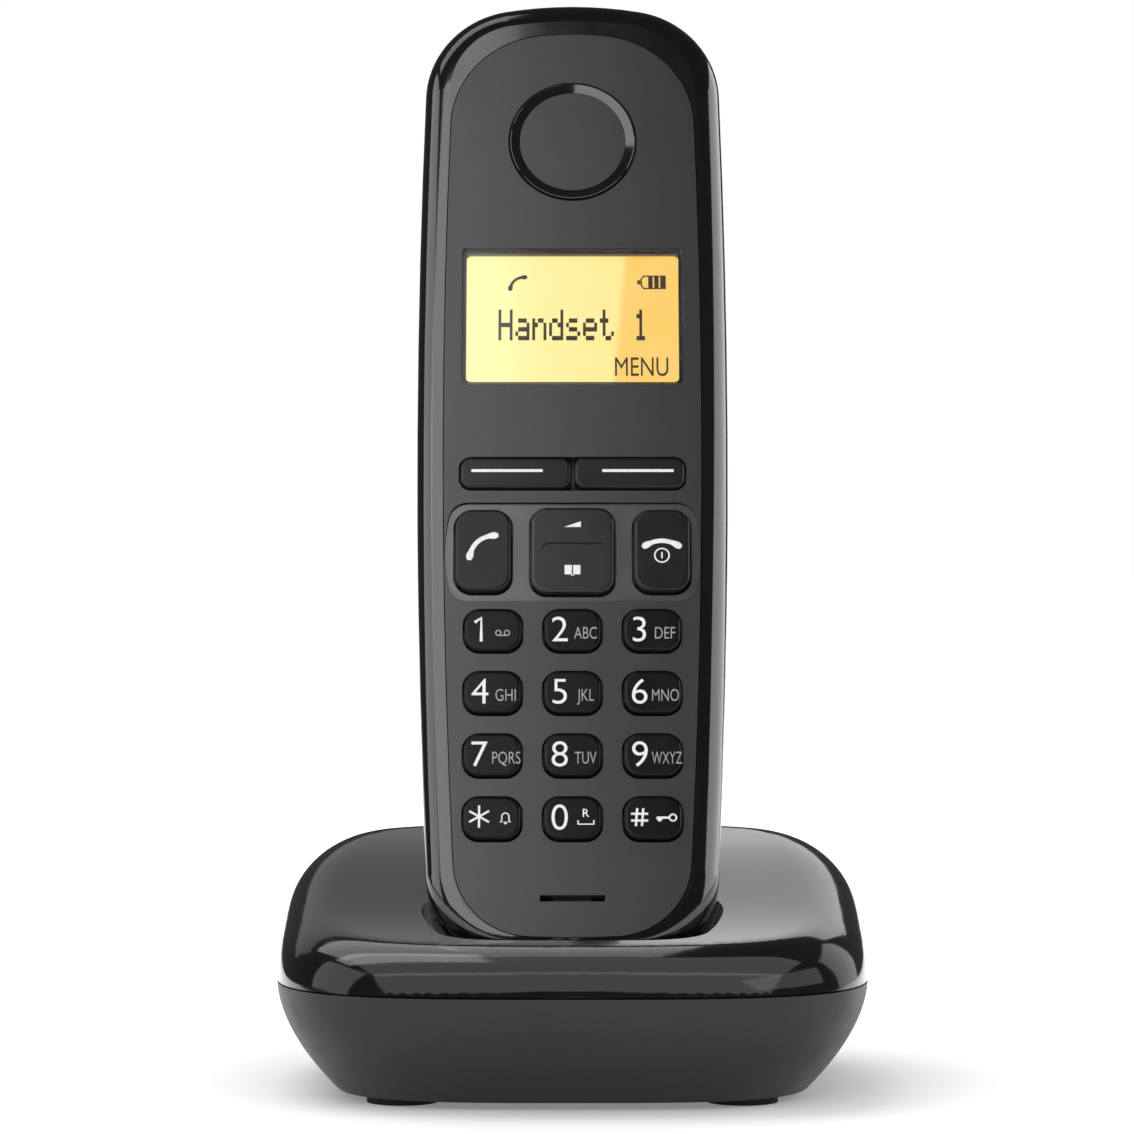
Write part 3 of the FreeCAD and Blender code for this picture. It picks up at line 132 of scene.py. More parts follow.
def buildStudio(look):
    bpy.ops.mesh.primitive_plane_add(size=look["floorSize"], location=(0, 0, 0))
    floor = bpy.context.object
    floor.name = "studioFloor"
    paper = bpy.data.materials.new("studioPaper")
    paper.use_nodes = True
    tree = paper.node_tree
    shader = tree.nodes["Principled BSDF"]
    shader.inputs["Base Color"].default_value = look["floorColour"]
    shader.inputs["Roughness"].default_value = look["floorRoughness"]
    shader.inputs["Specular IOR Level"].default_value = look["floorShine"]
    shader.inputs["Emission Color"].default_value = look["backdropColour"]
    place = tree.nodes.new("ShaderNodeTexCoord")
    reach = tree.nodes.new("ShaderNodeVectorMath")
    reach.operation = "LENGTH"
    tree.links.new(place.outputs["Object"], reach.inputs[0])
    glow = tree.nodes.new("ShaderNodeMapRange")
    glow.inputs["From Min"].default_value, glow.inputs["From Max"].default_value = look["shadowReach"]
    glow.inputs["To Min"].default_value, glow.inputs["To Max"].default_value = look["shadowGlow"]
    tree.links.new(reach.outputs["Value"], glow.inputs["Value"])
    tree.links.new(glow.outputs["Result"], shader.inputs["Emission Strength"])
    floor.data.materials.append(paper)

    world = bpy.data.worlds.new("studioSky")
    bpy.context.scene.world = world
    world.use_nodes = True
    tree = world.node_tree
    sky = tree.nodes["Background"]
    sky.inputs["Color"].default_value = look["backdropColour"]
    seen = tree.nodes.new("ShaderNodeLightPath")
    level = tree.nodes.new("ShaderNodeMapRange")
    level.inputs["To Min"].default_value = look["dimSky"]
    level.inputs["To Max"].default_value = 1.0
    tree.links.new(seen.outputs["Is Camera Ray"], level.inputs["Value"])
    tree.links.new(level.outputs["Result"], sky.inputs["Strength"])

    lit = {}
    for part in ("base", "handset"):
        lit[part] = bpy.data.collections.new(part + "Alone")
        for node in frame["nodes"].values():
            if (node["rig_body"] in ("base", "page_button")) == (part == "base"):
                lit[part].objects.link(node)
    lit["base"].objects.link(floor)
    for name, (place, aim, wide, tall, radiance, part) in look["lights"].items():
        data = bpy.data.lights.new(name, "AREA")
        data.shape = "RECTANGLE"
        data.size = wide
        data.size_y = tall
        data.energy = radiance * math.pi * wide * tall
        light = bpy.data.objects.new(name, data)
        light.location = place
        direction = Vector(aim) - Vector(place)
        light.rotation_euler = direction.to_track_quat("-Z", "Y").to_euler()
        light.visible_camera = False
        if part in lit:
            light.light_linking.receiver_collection = lit[part]
            light.light_linking.blocker_collection = lit[part]
        bpy.context.scene.collection.objects.link(light)
    return lit


litParts = buildStudio(studio)
print("camera, floor and lights placed")


# ---- materials

def newFinish(name):
    material = bpy.data.materials.new(name)
    material.use_nodes = True
    tree = material.node_tree
    return material, tree, tree.nodes["Principled BSDF"]


def addNoise(tree, place, scale, detail=3.0, rough=0.5):
    noise = tree.nodes.new("ShaderNodeTexNoise")
    noise.inputs["Scale"].default_value = scale
    noise.inputs["Detail"].default_value = detail
    noise.inputs["Roughness"].default_value = rough
    tree.links.new(place, noise.inputs["Vector"])
    return noise.outputs["Fac"]


def addRange(tree, value, low, high, fromLow=0.3, fromHigh=0.7):
    ramp = tree.nodes.new("ShaderNodeMapRange")
    ramp.inputs["From Min"].default_value = fromLow
    ramp.inputs["From Max"].default_value = fromHigh
    ramp.inputs["To Min"].default_value = low
    ramp.inputs["To Max"].default_value = high
    tree.links.new(value, ramp.inputs["Value"])
    return ramp.outputs["Result"]


def addMix(tree, factor, first, second):
    mix = tree.nodes.new("ShaderNodeMix")
    mix.data_type = "RGBA"
    for socket, colour in ((mix.inputs["A"], first), (mix.inputs["B"], second)):
        if isinstance(colour, bpy.types.NodeSocket):
            tree.links.new(colour, socket)
        else:
            socket.default_value = colour
    tree.links.new(factor, mix.inputs["Factor"])
    return mix.outputs["Result"]


def addBump(tree, shader, height, distance):
    bump = tree.nodes.new("ShaderNodeBump")
    bump.inputs["Distance"].default_value = distance
    bump.inputs["Strength"].default_value = 1.0
    tree.links.new(height, bump.inputs["Height"])
    tree.links.new(bump.outputs["Normal"], shader.inputs["Normal"])


def mouldedPlastic(name, look):
    # base shade drifts slowly, roughness drifts, and a fine grain stands in relief
    material, tree, shader = newFinish(name)
    place = tree.nodes.new("ShaderNodeTexCoord").outputs["Object"]
    drift = addNoise(tree, place, look["driftScale"])
    shade = addMix(tree, addRange(tree, drift, 0, 1), look["dark"] + (1,), look["light"] + (1,))
    tree.links.new(shade, shader.inputs["Base Color"])
    wear = addNoise(tree, place, look["wearScale"], 5.0, 0.6)
    tree.links.new(addRange(tree, wear, *look["roughness"]), shader.inputs["Roughness"])
    grain = addNoise(tree, place, look["grainScale"], 2.0)
    addBump(tree, shader, grain, look["grainDepth"])
    shader.inputs["IOR"].default_value = look.get("ior", 1.48)
    shader.inputs["Coat Weight"].default_value = look.get("coat", 0.0)
    shader.inputs["Coat Roughness"].default_value = look.get("coatRoughness", 0.03)
    shader.inputs["Metallic"].default_value = look.get("metal", 0.0)
    return material


plastics = {
    "pianoBlack": {
        "dark": (0.0035, 0.0035, 0.0037), "light": (0.006, 0.006, 0.0065), "driftScale": 25,
        "wearScale": 180, "roughness": (0.07, 0.13), "grainScale": 140, "grainDepth": 2e-6,
        "coat": 0.35, "coatRoughness": 0.03, "ior": 1.5},
    "faceMatte": {
        "dark": (0.018, 0.018, 0.0183), "light": (0.022, 0.022, 0.0224), "driftScale": 40,
        "wearScale": 300, "roughness": (0.155, 0.195), "grainScale": 5200, "grainDepth": 1.2e-5},
    "keySatin": {
        "dark": (0.008, 0.008, 0.008), "light": (0.012, 0.012, 0.0122), "driftScale": 120,
        "wearScale": 600, "roughness": (0.12, 0.17), "grainScale": 7000, "grainDepth": 8e-6, "ior": 1.27},
    "numberKey": {
        "dark": (0.004, 0.004, 0.004), "light": (0.007, 0.007, 0.0071), "driftScale": 120,
        "wearScale": 600, "roughness": (0.12, 0.18), "grainScale": 7000, "grainDepth": 8e-6, "ior": 1.21},
    "rockerSatin": {
        "dark": (0.010, 0.010, 0.010), "light": (0.014, 0.014, 0.0142), "driftScale": 120,
        "wearScale": 600, "roughness": (0.12, 0.17), "grainScale": 7000, "grainDepth": 8e-6, "ior": 1.35},
    "basinGloss": {
        "dark": (0.038, 0.038, 0.039), "light": (0.046, 0.046, 0.047), "driftScale": 60,
        "wearScale": 400, "roughness": (0.14, 0.20), "grainScale": 300, "grainDepth": 2e-6, "ior": 1.65},
    "bowlSatin": {
        "dark": (0.007, 0.007, 0.0072), "light": (0.010, 0.010, 0.0103), "driftScale": 30,
        "wearScale": 240, "roughness": (0.38, 0.48), "grainScale": 4200, "grainDepth": 1.4e-5},
    "innerBlack": {
        "dark": (0.010, 0.010, 0.010), "light": (0.016, 0.016, 0.016), "driftScale": 80,
        "wearScale": 400, "roughness": (0.45, 0.60), "grainScale": 2500, "grainDepth": 1e-5},
    "softRubber": {
        "dark": (0.012, 0.012, 0.012), "light": (0.022, 0.022, 0.022), "driftScale": 160,
        "wearScale": 900, "roughness": (0.70, 0.88), "grainScale": 3000, "grainDepth": 3e-5},
    "siliconeGrey": {
        "dark": (0.20, 0.20, 0.21), "light": (0.26, 0.26, 0.27), "driftScale": 90,
        "wearScale": 500, "roughness": (0.50, 0.65), "grainScale": 2000, "grainDepth": 1e-5},
    "platedContact": {
        "dark": (0.60, 0.50, 0.28), "light": (0.74, 0.64, 0.38), "driftScale": 300,
        "wearScale": 900, "roughness": (0.18, 0.34), "grainScale": 1500, "grainDepth": 4e-6, "metal": 1.0},
    "zincScrew": {
        "dark": (0.42, 0.42, 0.44), "light": (0.56, 0.56, 0.58), "driftScale": 500,
        "wearScale": 1200, "roughness": (0.25, 0.42), "grainScale": 2600, "grainDepth": 6e-6, "metal": 1.0},
    "solderMask": {
        "dark": (0.010, 0.075, 0.032), "light": (0.016, 0.105, 0.045), "driftScale": 350,
        "wearScale": 800, "roughness": (0.22, 0.34), "grainScale": 1800, "grainDepth": 8e-6},
    "chipBlack": {
        "dark": (0.018, 0.018, 0.019), "light": (0.030, 0.030, 0.031), "driftScale": 260,
        "wearScale": 700, "roughness": (0.40, 0.55), "grainScale": 3000, "grainDepth": 8e-6},
    "cellSleeve": {
        "dark": (0.05, 0.16, 0.10), "light": (0.07, 0.20, 0.13), "driftScale": 90,
        "wearScale": 500, "roughness": (0.22, 0.32), "grainScale": 900, "grainDepth": 4e-6, "coat": 0.3},
    "speakerFrame": {
        "dark": (0.04, 0.04, 0.042), "light": (0.06, 0.06, 0.062), "driftScale": 200,
        "wearScale": 700, "roughness": (0.35, 0.50), "grainScale": 2400, "grainDepth": 1e-5, "metal": 0.6},
}
finishes = {name: mouldedPlastic(name, look) for name, look in plastics.items()}


# ---- the display's own materials

displayLook = {
    "paleYellow": (1.0, 0.945, 0.400, 1),
    "warmYellow": (0.99, 0.81, 0.27, 1),
    "reflectedOrange": (0.975, 0.605, 0.115, 1),
    "split": 0.0075,        # where the painted reflection, a darker orange band, starts, to the right of the middle
    "reflectionLean": 0.085,
    "reflectionBlur": 0.0006,
    "glow": 1.0,
    "roughness": 0.35,
    "unlit": (0.02, 0.016, 0.006, 1),
    "hazeScale": 160,
    "haze": 0.05,
    "dotPitch": 0.00042,
    "gapShare": 0.06,       # of the pitch, between two dots
    "gapShade": (0.86, 0.86, 0.86, 1),
    "gapStrength": 0.6,
}
windowLook = {"smearScale": 90, "roughness": (0.015, 0.05), "ior": 1.2}
inkGrain = {"coverScale": 1800, "wearScale": 900, "roughness": (0.38, 0.55)}
inks = {
    # name: full shade, worn shade, and how much it glows; the white ink's glow is painted light
    "whiteInkPaintedGlow": ((0.68, 0.68, 0.68, 1), (0.58, 0.58, 0.58, 1), 0.04),
    "greyInk": ((0.30, 0.30, 0.30, 1), (0.24, 0.24, 0.24, 1), 0.0),
    "lcdInk": ((0.030, 0.018, 0.006, 1), (0.045, 0.028, 0.010, 1), 0.0),
    # painted shade: this brown stands for the window recess's shaded walls, lit by the display
    "paintedShadeBrown": ((0.15, 0.100, 0.060, 1), (0.19, 0.130, 0.080, 1), 0.0),
}


def amberGlass(look, glassNode):
    low, high = handsetBox(glassNode)
    material, tree, shader = newFinish("amberGlass")
    place = tree.nodes.new("ShaderNodeTexCoord").outputs["Object"]
    upright = tree.nodes.new("ShaderNodeMapping")
    upright.vector_type = "POINT"
    upright.inputs["Rotation"].default_value = (leanAngle, 0, 0)
    tree.links.new(place, upright.inputs["Vector"])
    split = tree.nodes.new("ShaderNodeSeparateXYZ")
    tree.links.new(upright.outputs["Vector"], split.inputs["Vector"])
    fade = addRange(tree, split.outputs["X"], 0, 1, low.x, look["split"])
    yellow = addMix(tree, fade, look["paleYellow"], look["warmYellow"])
    # painted reflection: a slanted, darker orange band over the right of the display
    tilt = tree.nodes.new("ShaderNodeMath")
    tilt.operation = "MULTIPLY_ADD"
    tilt.inputs[1].default_value = -look["reflectionLean"]
    tilt.inputs[2].default_value = look["reflectionLean"] * (low.y + high.y) / 2
    tree.links.new(split.outputs["Z"], tilt.inputs[0])
    slant = tree.nodes.new("ShaderNodeMath")
    slant.operation = "ADD"
    tree.links.new(split.outputs["X"], slant.inputs[0])
    tree.links.new(tilt.outputs["Value"], slant.inputs[1])
    reflectionBand = addRange(tree, slant.outputs["Value"], 0, 1,
                    look["split"] - look["reflectionBlur"], look["split"] + look["reflectionBlur"])
    amberWithReflection = addMix(tree, reflectionBand, yellow, look["reflectedOrange"])
    haze = addNoise(tree, place, look["hazeScale"])
    uneven = addMix(tree, addRange(tree, haze, 0, look["haze"]), amberWithReflection, (1, 1, 1, 1))
    cells = tree.nodes.new("ShaderNodeTexBrick")
    cells.offset = 0.0
    cells.inputs["Scale"].default_value = 1.0
    cells.inputs["Brick Width"].default_value = look["dotPitch"]
    cells.inputs["Row Height"].default_value = look["dotPitch"]
    cells.inputs["Mortar Size"].default_value = look["dotPitch"] * look["gapShare"]
    cells.inputs["Color1"].default_value = (1, 1, 1, 1)
    cells.inputs["Color2"].default_value = (1, 1, 1, 1)
    cells.inputs["Mortar"].default_value = look["gapShade"]
    flat = tree.nodes.new("ShaderNodeCombineXYZ")
    tree.links.new(split.outputs["X"], flat.inputs["X"])
    tree.links.new(split.outputs["Z"], flat.inputs["Y"])
    tree.links.new(flat.outputs["Vector"], cells.inputs["Vector"])
    grid = tree.nodes.new("ShaderNodeMix")
    grid.data_type = "RGBA"
    grid.blend_type = "MULTIPLY"
    grid.inputs["Factor"].default_value = look["gapStrength"]
    tree.links.new(uneven, grid.inputs["A"])
    tree.links.new(cells.outputs["Color"], grid.inputs["B"])
    tree.links.new(grid.outputs["Result"], shader.inputs["Emission Color"])
    shader.inputs["Emission Strength"].default_value = look["glow"]
    shader.inputs["Base Color"].default_value = look["unlit"]
    shader.inputs["Roughness"].default_value = look["roughness"]
    return material


def clearWindow(look):
    material, tree, shader = newFinish("clearWindow")
    place = tree.nodes.new("ShaderNodeTexCoord").outputs["Object"]
    smear = addNoise(tree, place, look["smearScale"], 4.0)
    tree.links.new(addRange(tree, smear, *look["roughness"]), shader.inputs["Roughness"])
    shader.inputs["Base Color"].default_value = (1, 1, 1, 1)
    shader.inputs["Transmission Weight"].default_value = 1.0
    shader.inputs["IOR"].default_value = look["ior"]
    return material


def printedInk(name, look, colour, fade, glow):
    # screen-printed ink, thinner in places
    material, tree, shader = newFinish(name)
    place = tree.nodes.new("ShaderNodeTexCoord").outputs["Object"]
    cover = addRange(tree, addNoise(tree, place, look["coverScale"], 4.0), 0, 1)
    shade = addMix(tree, cover, fade, colour)
    tree.links.new(shade, shader.inputs["Base Color"])
    # painted glow, where one is given: the ink gives off light in its own colour
    tree.links.new(shade, shader.inputs["Emission Color"])
    shader.inputs["Emission Strength"].default_value = glow
    wear = addNoise(tree, place, look["wearScale"])
    tree.links.new(addRange(tree, wear, *look["roughness"]), shader.inputs["Roughness"])
    return material


finishes["amberGlass"] = amberGlass(displayLook, "lcd_glass")
finishes["clearWindow"] = clearWindow(windowLook)
for inkName, shades in inks.items():
    finishes[inkName] = printedInk(inkName, inkGrain, *shades)

nodeFinish = {
    "rear_shell": "pianoBlack", "battery_door": "pianoBlack", "base_cover": "pianoBlack",
    "face_panel": "faceMatte", "earpiece_cap": "faceMatte", "basin_trim": "basinGloss",
    "base_bottom": "bowlSatin", "base_feet": "softRubber", "keypad_mat": "siliconeGrey",
    "key_domes": "zincScrew", "display_window": "clearWindow", "lcd_glass": "amberGlass",
    "lcd_backlight": "siliconeGrey", "handset_board": "solderMask", "base_board": "solderMask",
    "handset_components": "chipBlack", "base_components": "chipBlack", "page_switch": "chipBlack",
    "handset_aerial": "platedContact", "base_aerial": "platedContact", "earpiece_speaker": "speakerFrame",
    "ringer_speaker": "speakerFrame", "microphone": "speakerFrame", "battery_bay": "innerBlack",
    "battery_plates": "platedContact", "battery_springs": "zincScrew", "battery_cell_left": "cellSleeve",
    "battery_cell_right": "cellSleeve", "handset_screws": "zincScrew", "base_screws": "zincScrew",
    "charge_pad_left": "platedContact", "charge_pad_right": "platedContact",
    "charge_pin_left": "platedContact", "charge_pin_right": "platedContact",
    "contact_carrier": "innerBlack", "line_socket": "innerBlack", "power_socket": "innerBlack",
    "line_contacts": "platedContact", "power_contacts": "platedContact", "page_button": "keySatin",
    "talk_key": "keySatin", "end_key": "keySatin", "nav_rocker": "rockerSatin",
    "soft_key_left": "keySatin", "soft_key_right": "keySatin",
}
for nodeName, node in frame["nodes"].items():
    finish = finishes[nodeFinish.get(nodeName, "numberKey")]
    node.data.materials.clear()
    node.data.materials.append(finish)
print("finishes on", len(frame["nodes"]), "nodes")


# ---- printed marks: every one is drawn flat in millimetres, x across and y up, then laid on its key

ink = {
    "thick": 0.03,
    "gap": 0.004,           # above the surface it is printed on
    "capShare": 0.682,      # capital height of the letters, as a share of the text size
    "digitTall": 4.0,
    "digitAcross": -1.95,
    "letterTall": 1.9,
    "letterAcross": 2.0,
    "letterDrop": -0.55,
    "longWord": 0.15,           # four letters stand this much further out
    "digitWeight": -0.045,      # how far the outlines are drawn in
    "letterWeight": -0.02,
}


def clearSelection():
    bpy.ops.object.select_all(action="DESELECT")


def reshape(piece, matrix):
    piece.data.transform(matrix)
    piece.data.update()


def inkWord(word, middle, tall, wide=None, weight=0.0):
    clearSelection()
    bpy.ops.object.text_add(location=(0, 0, 0))
    text = bpy.context.object
    text.data.body = word
    text.data.size = tall / ink["capShare"]
    text.data.extrude = ink["thick"] / 2
    text.data.offset = weight
    text.data.resolution_u = 5
    bpy.ops.object.convert(target="MESH")
    xs = [vertex.co.x for vertex in text.data.vertices]
    stretch = wide / (max(xs) - min(xs)) if wide else 1.0
    centre = (max(xs) + min(xs)) / 2
    reshape(text, Matrix.Translation((middle[0], middle[1] - tall / 2, 0))
            @ Matrix.Diagonal((stretch, 1, 1, 1)) @ Matrix.Translation((-centre, 0, 0)))
    return text


def inkStroke(points, width, closed=False, swell=None):
    # a pen line through the points; swell thickens it point by point
    clearSelection()
    bpy.ops.curve.primitive_nurbs_path_add(location=(0, 0, 0))
    line = bpy.context.object
    line.data.splines.clear()
    run = line.data.splines.new("POLY")
    run.points.add(len(points) - 1)
    run.use_cyclic_u = closed
    for index, (spot, (x, y)) in enumerate(zip(run.points, points)):
        spot.co = (x, y, 0, 1)
        spot.radius = swell[index] if swell else 1.0
    line.data.bevel_depth = width / 2
    line.data.bevel_resolution = 2
    line.data.use_fill_caps = True
    bpy.ops.object.convert(target="MESH")
    reshape(line, Matrix.Diagonal((1, 1, ink["thick"] / width, 1)))
    return line


def inkPatch(points):
    clearSelection()
    bpy.ops.mesh.primitive_circle_add(vertices=len(points), fill_type="NGON", location=(0, 0, 0))
    patch = bpy.context.object
    for vertex, (x, y) in zip(patch.data.vertices, points):
        vertex.co = (x, y, -ink["thick"] / 2)
    bpy.ops.object.mode_set(mode="EDIT")
    bpy.ops.mesh.select_all(action="SELECT")
    bpy.ops.mesh.extrude_region_move(TRANSFORM_OT_translate={"value": (0, 0, ink["thick"])})
    bpy.ops.mesh.select_all(action="SELECT")
    bpy.ops.mesh.normals_make_consistent(inside=False)
    bpy.ops.object.mode_set(mode="OBJECT")
    return patch


def ringPoints(middle, radius, start=0.0, end=360.0, steps=20):
    angles = [math.radians(start + (end - start) * step / steps) for step in range(steps + 1)]
    return [(middle[0] + radius * math.cos(angle), middle[1] + radius * math.sin(angle)) for angle in angles]


def inkRing(middle, radius, width, steps=18):
    return inkStroke(ringPoints(middle, radius, steps=steps)[:-1], width, closed=True)


def boxPoints(left, right, low, high):
    return [(left, low), (right, low), (right, high), (left, high)]


def printMark(name, marks, place, body, finish, faint=()):
    # joins the strokes of one mark and lays it in its place; the faint ones are in grey ink
    for strokes, inkName in ((marks, finish), (faint, "greyInk")):
        for mark in strokes:
            mark.data.materials.clear()
            mark.data.materials.append(finishes[inkName])
    marks = [*marks, *faint]
    clearSelection()
    for mark in marks:
        mark.select_set(True)
    bpy.context.view_layer.objects.active = marks[0]
    if len(marks) > 1:
        bpy.ops.object.join()
    mark = bpy.context.view_layer.objects.active
    mark.name = name
    reshape(mark, place @ Matrix.Scale(mm, 4))
    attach(mark, body)
    litParts["handset"].objects.link(mark)


def keyTop(key):
    low, high = handsetBox(key)
    return handsetPlace((low.x + high.x) / 2, (low.y + high.y) / 2,
                        high.z + (ink["gap"] + ink["thick"] / 2) * mm)


receiverLook = {
    "points": 17,
    "blockFrom": 0.55,      # the thick ends begin here, as a share of half the length
    "blockRise": 0.20,
    "blockFull": 0.75,
    "tip": 0.55,            # the last point, as a share of the block
}


def receiver(middle, long, turn, width, bow, blob):
    # telephone receiver: a bowed stroke with a thick block at each end
    look = receiverLook
    points, swell = [], []
    cosTurn, sinTurn = math.cos(turn), math.sin(turn)
    for step in range(look["points"]):
        share = step / (look["points"] - 1) * 2 - 1
        x, y = share * long / 2, bow * long * (1 - share * share)
        points.append((middle[0] + x * cosTurn - y * sinTurn, middle[1] + x * sinTurn + y * cosTurn))
        rise = max(0.0, (abs(share) - look["blockFrom"]) / look["blockRise"])
        swell.append(1.0 + (blob - 1.0) * rise if abs(share) < look["blockFull"] else blob)
    swell[0] = swell[-1] = blob * look["tip"]
    return inkStroke(points, width, swell=swell)


icons = {
    # middles, corners and pen widths, measured from the middle of the key
    "loops": ((0.83, -0.55), (2.17, -0.55)), "loopRadius": 0.40, "loopLine": ((0.83, -0.97), (2.17, -0.97)),
    "loopPen": 0.20,
    "bellLeft": ((1.25, -0.72), (1.50, -0.45)), "bellRight": ((2.60, -0.45), (2.85, -0.72)),
    "bellCrown": (2.05, 0.15), "bellRadius": 0.55, "bellPen": 0.20, "bellClapper": (1.85, 2.25, -1.05, -0.82),
    "spaceLetter": (2.05, 0.72), "spaceTall": 1.25, "spaceWeight": 0.01, "spacePen": 0.26,
    "spaceBar": ((0.85, -0.45), (0.85, -1.05), (3.25, -1.05), (3.25, -0.45)),
    "lockShaft": ((0.55, -0.02), (2.45, -0.02)), "lockShaftPen": 0.36,
    "lockBow": (3.02, -0.02), "lockRadius": 0.52, "lockPen": 0.26,
    "lockBit": ((0.45, -0.10), (1.55, -0.10), (1.15, -0.62), (0.85, -0.62)),
    "starMiddle": (-1.95, 0.15), "starReach": 1.75, "starTurns": (30, 90, 150), "starPen": 0.34,
    "hashLines": (((-2.62, -1.35), (-2.40, 1.45)), ((-1.70, -1.35), (-1.48, 1.45)),
                  ((-3.35, 0.58), (-0.75, 0.58)), ((-3.35, -0.48), (-0.75, -0.48))), "hashPen": 0.37,
    "oneSteps": ((-0.85, 1.15), (0.15, 1.85), (0.15, -1.95)), "onePen": 0.50, "digitLift": 0.05,
}


def voicemailMark():
    loops = [inkRing(spot, icons["loopRadius"], icons["loopPen"]) for spot in icons["loops"]]
    return loops + [inkStroke(icons["loopLine"], icons["loopPen"])]


def bellMark():
    crown = ringPoints(icons["bellCrown"], icons["bellRadius"], 180, 0, 10)
    dome = [*icons["bellLeft"], *crown, *icons["bellRight"]]
    return [inkStroke(dome, icons["bellPen"], closed=True), inkPatch(boxPoints(*icons["bellClapper"]))]


def spaceMark():
    return [inkWord("R", icons["spaceLetter"], icons["spaceTall"], weight=icons["spaceWeight"]),
            inkStroke(icons["spaceBar"], icons["spacePen"])]


def lockMark():
    return [inkStroke(icons["lockShaft"], icons["lockShaftPen"]),
            inkRing(icons["lockBow"], icons["lockRadius"], icons["lockPen"]), inkPatch(icons["lockBit"])]


def starMark():
    spokes = [ringPoints(icons["starMiddle"], icons["starReach"], turn, turn + 180, 1)
              for turn in icons["starTurns"]]
    return [inkStroke(spoke, icons["starPen"]) for spoke in spokes]


def hashMark():
    return [inkStroke(line, icons["hashPen"]) for line in icons["hashLines"]]


smallLetters = {
    "2": "ABC", "3": "DEF", "4": "GHI", "5": "JKL", "6": "MNO", "7": "PQRS", "8": "TUV", "9": "WXYZ",
}
letterWide = {"2": 3.5, "3": 3.1, "4": 3.1, "5": 2.6, "6": 4.1, "7": 4.3, "8": 3.3, "9": 4.6}


def digitMark(digit):
    middle = ink["digitAcross"]
    if digit == "1":
        return inkStroke([(middle + x, y) for x, y in icons["oneSteps"]], icons["onePen"])
    return inkWord(digit, (middle, icons["digitLift"]), ink["digitTall"], weight=ink["digitWeight"])


for digit in "123456789":
    if digit == "1":
        faint = voicemailMark()
    else:
        word = smallLetters[digit]
        spot = (ink["letterAcross"] + (ink["longWord"] if len(word) > 3 else 0.0), ink["letterDrop"])
        faint = [inkWord(word, spot, ink["letterTall"], letterWide[digit], ink["letterWeight"])]
    printMark("legend_" + digit, [digitMark(digit)], keyTop("key_" + digit), "key_" + digit,
              "whiteInkPaintedGlow", faint)
printMark("legend_0", [digitMark("0")] + spaceMark(), keyTop("key_0"), "key_0", "whiteInkPaintedGlow")
printMark("legend_star", starMark() + bellMark(), keyTop("key_star"), "key_star", "whiteInkPaintedGlow")
printMark("legend_hash", hashMark() + lockMark(), keyTop("key_hash"), "key_hash", "whiteInkPaintedGlow")

softLine = {"long": 11.1, "thick": 0.45, "lift": 0.27, "outer": 1.35}
for side, way in (("left", -1), ("right", 1)):
    lineMiddle = way * softLine["outer"]
    halfLong, halfThick = softLine["long"] / 2, softLine["thick"] / 2
    bar = inkPatch(boxPoints(lineMiddle - halfLong, lineMiddle + halfLong,
                             softLine["lift"] - halfThick, softLine["lift"] + halfThick))
    printMark("legend_soft_" + side, [bar], keyTop("soft_key_" + side), "soft_key_" + side,
              "whiteInkPaintedGlow")

printMark("legend_talk", [receiver((0.1, 0.3), 6.1, math.radians(42), 0.74, 0.22, 1.5)],
          keyTop("talk_key"), "talk_key", "whiteInkPaintedGlow")
powerRing = [inkRing((0, -0.95), 1.12, 0.24, 24), inkStroke([(0, -1.45), (0, -0.42)], 0.24)]
printMark("legend_end", [receiver((0, 0.35), 6.0, 0, 0.76, 0.18, 1.45)] + powerRing,
          keyTop("end_key"), "end_key", "whiteInkPaintedGlow")

wedge = inkPatch([(-1.30, 3.68), (1.30, 3.68), (1.30, 4.60)])
bookLeft = inkPatch(boxPoints(-1.22, -0.10, -4.05, -2.55))
bookRight = inkPatch(boxPoints(0.10, 1.22, -4.05, -2.55))
bookSpine = inkPatch([(-0.30, -4.25), (0.30, -4.25), (0.10, -4.05), (-0.10, -4.05)])
printMark("legend_rocker", [wedge, bookLeft, bookRight, bookSpine], keyTop("nav_rocker"),
          "nav_rocker", "whiteInkPaintedGlow")
# painted shade: a strip of darker key plastic drawn where the rocker's groove runs
grooveShadeLine = inkStroke([(-4.65, 0.0), (-4.60, 0.65), (-4.1, 1.0), (4.65, 1.0)], 0.26)
printMark("rocker_groove_painted_shade", [grooveShadeLine], keyTop("nav_rocker"), "nav_rocker", "numberKey")
print("legends printed on the keys")


# ---- earpiece: a sloping gloss ring lies in the groove round the disc

earRing = {
    # radius and height above the face, once round the ring's section
    "section": ((8.45, 0.00), (9.80, 0.36), (9.90, 0.29), (9.90, 0.01),
                (9.38, 0.01), (9.38, -0.20), (8.45, -0.20)),
    "steps": 128,
    "smoothUnder": 25,      # degrees
}


def earpieceRing(look):
    section = look["section"]
    low, high = handsetBox("earpiece_cap")
    clearSelection()
    # only the torus's faces are kept: every vertex is set below
    bpy.ops.mesh.primitive_torus_add(major_segments=look["steps"], minor_segments=len(section),
                                     major_radius=9, minor_radius=0.5, location=(0, 0, 0))
    ring = bpy.context.object
    ring.name = "earpiece_ring"
    for index, vertex in enumerate(ring.data.vertices):
        radius, height = section[index % len(section)]
        angle = 2 * math.pi * (index // len(section)) / look["steps"]
        vertex.co = (radius * math.cos(angle), radius * math.sin(angle), height)
    reshape(ring, handsetPlace((low.x + high.x) / 2, (low.y + high.y) / 2, high.z) @ Matrix.Scale(mm, 4))
    bpy.ops.object.mode_set(mode="EDIT")
    bpy.ops.mesh.select_all(action="SELECT")
    bpy.ops.mesh.normals_make_consistent(inside=False)
    bpy.ops.object.mode_set(mode="OBJECT")
    bpy.ops.object.shade_smooth_by_angle(angle=math.radians(look["smoothUnder"]))
    ring.data.materials.clear()
    ring.data.materials.append(finishes["pianoBlack"])
    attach(ring, "handset")
    litParts["handset"].objects.link(ring)


earpieceRing(earRing)
print("earpiece ring laid in its groove")
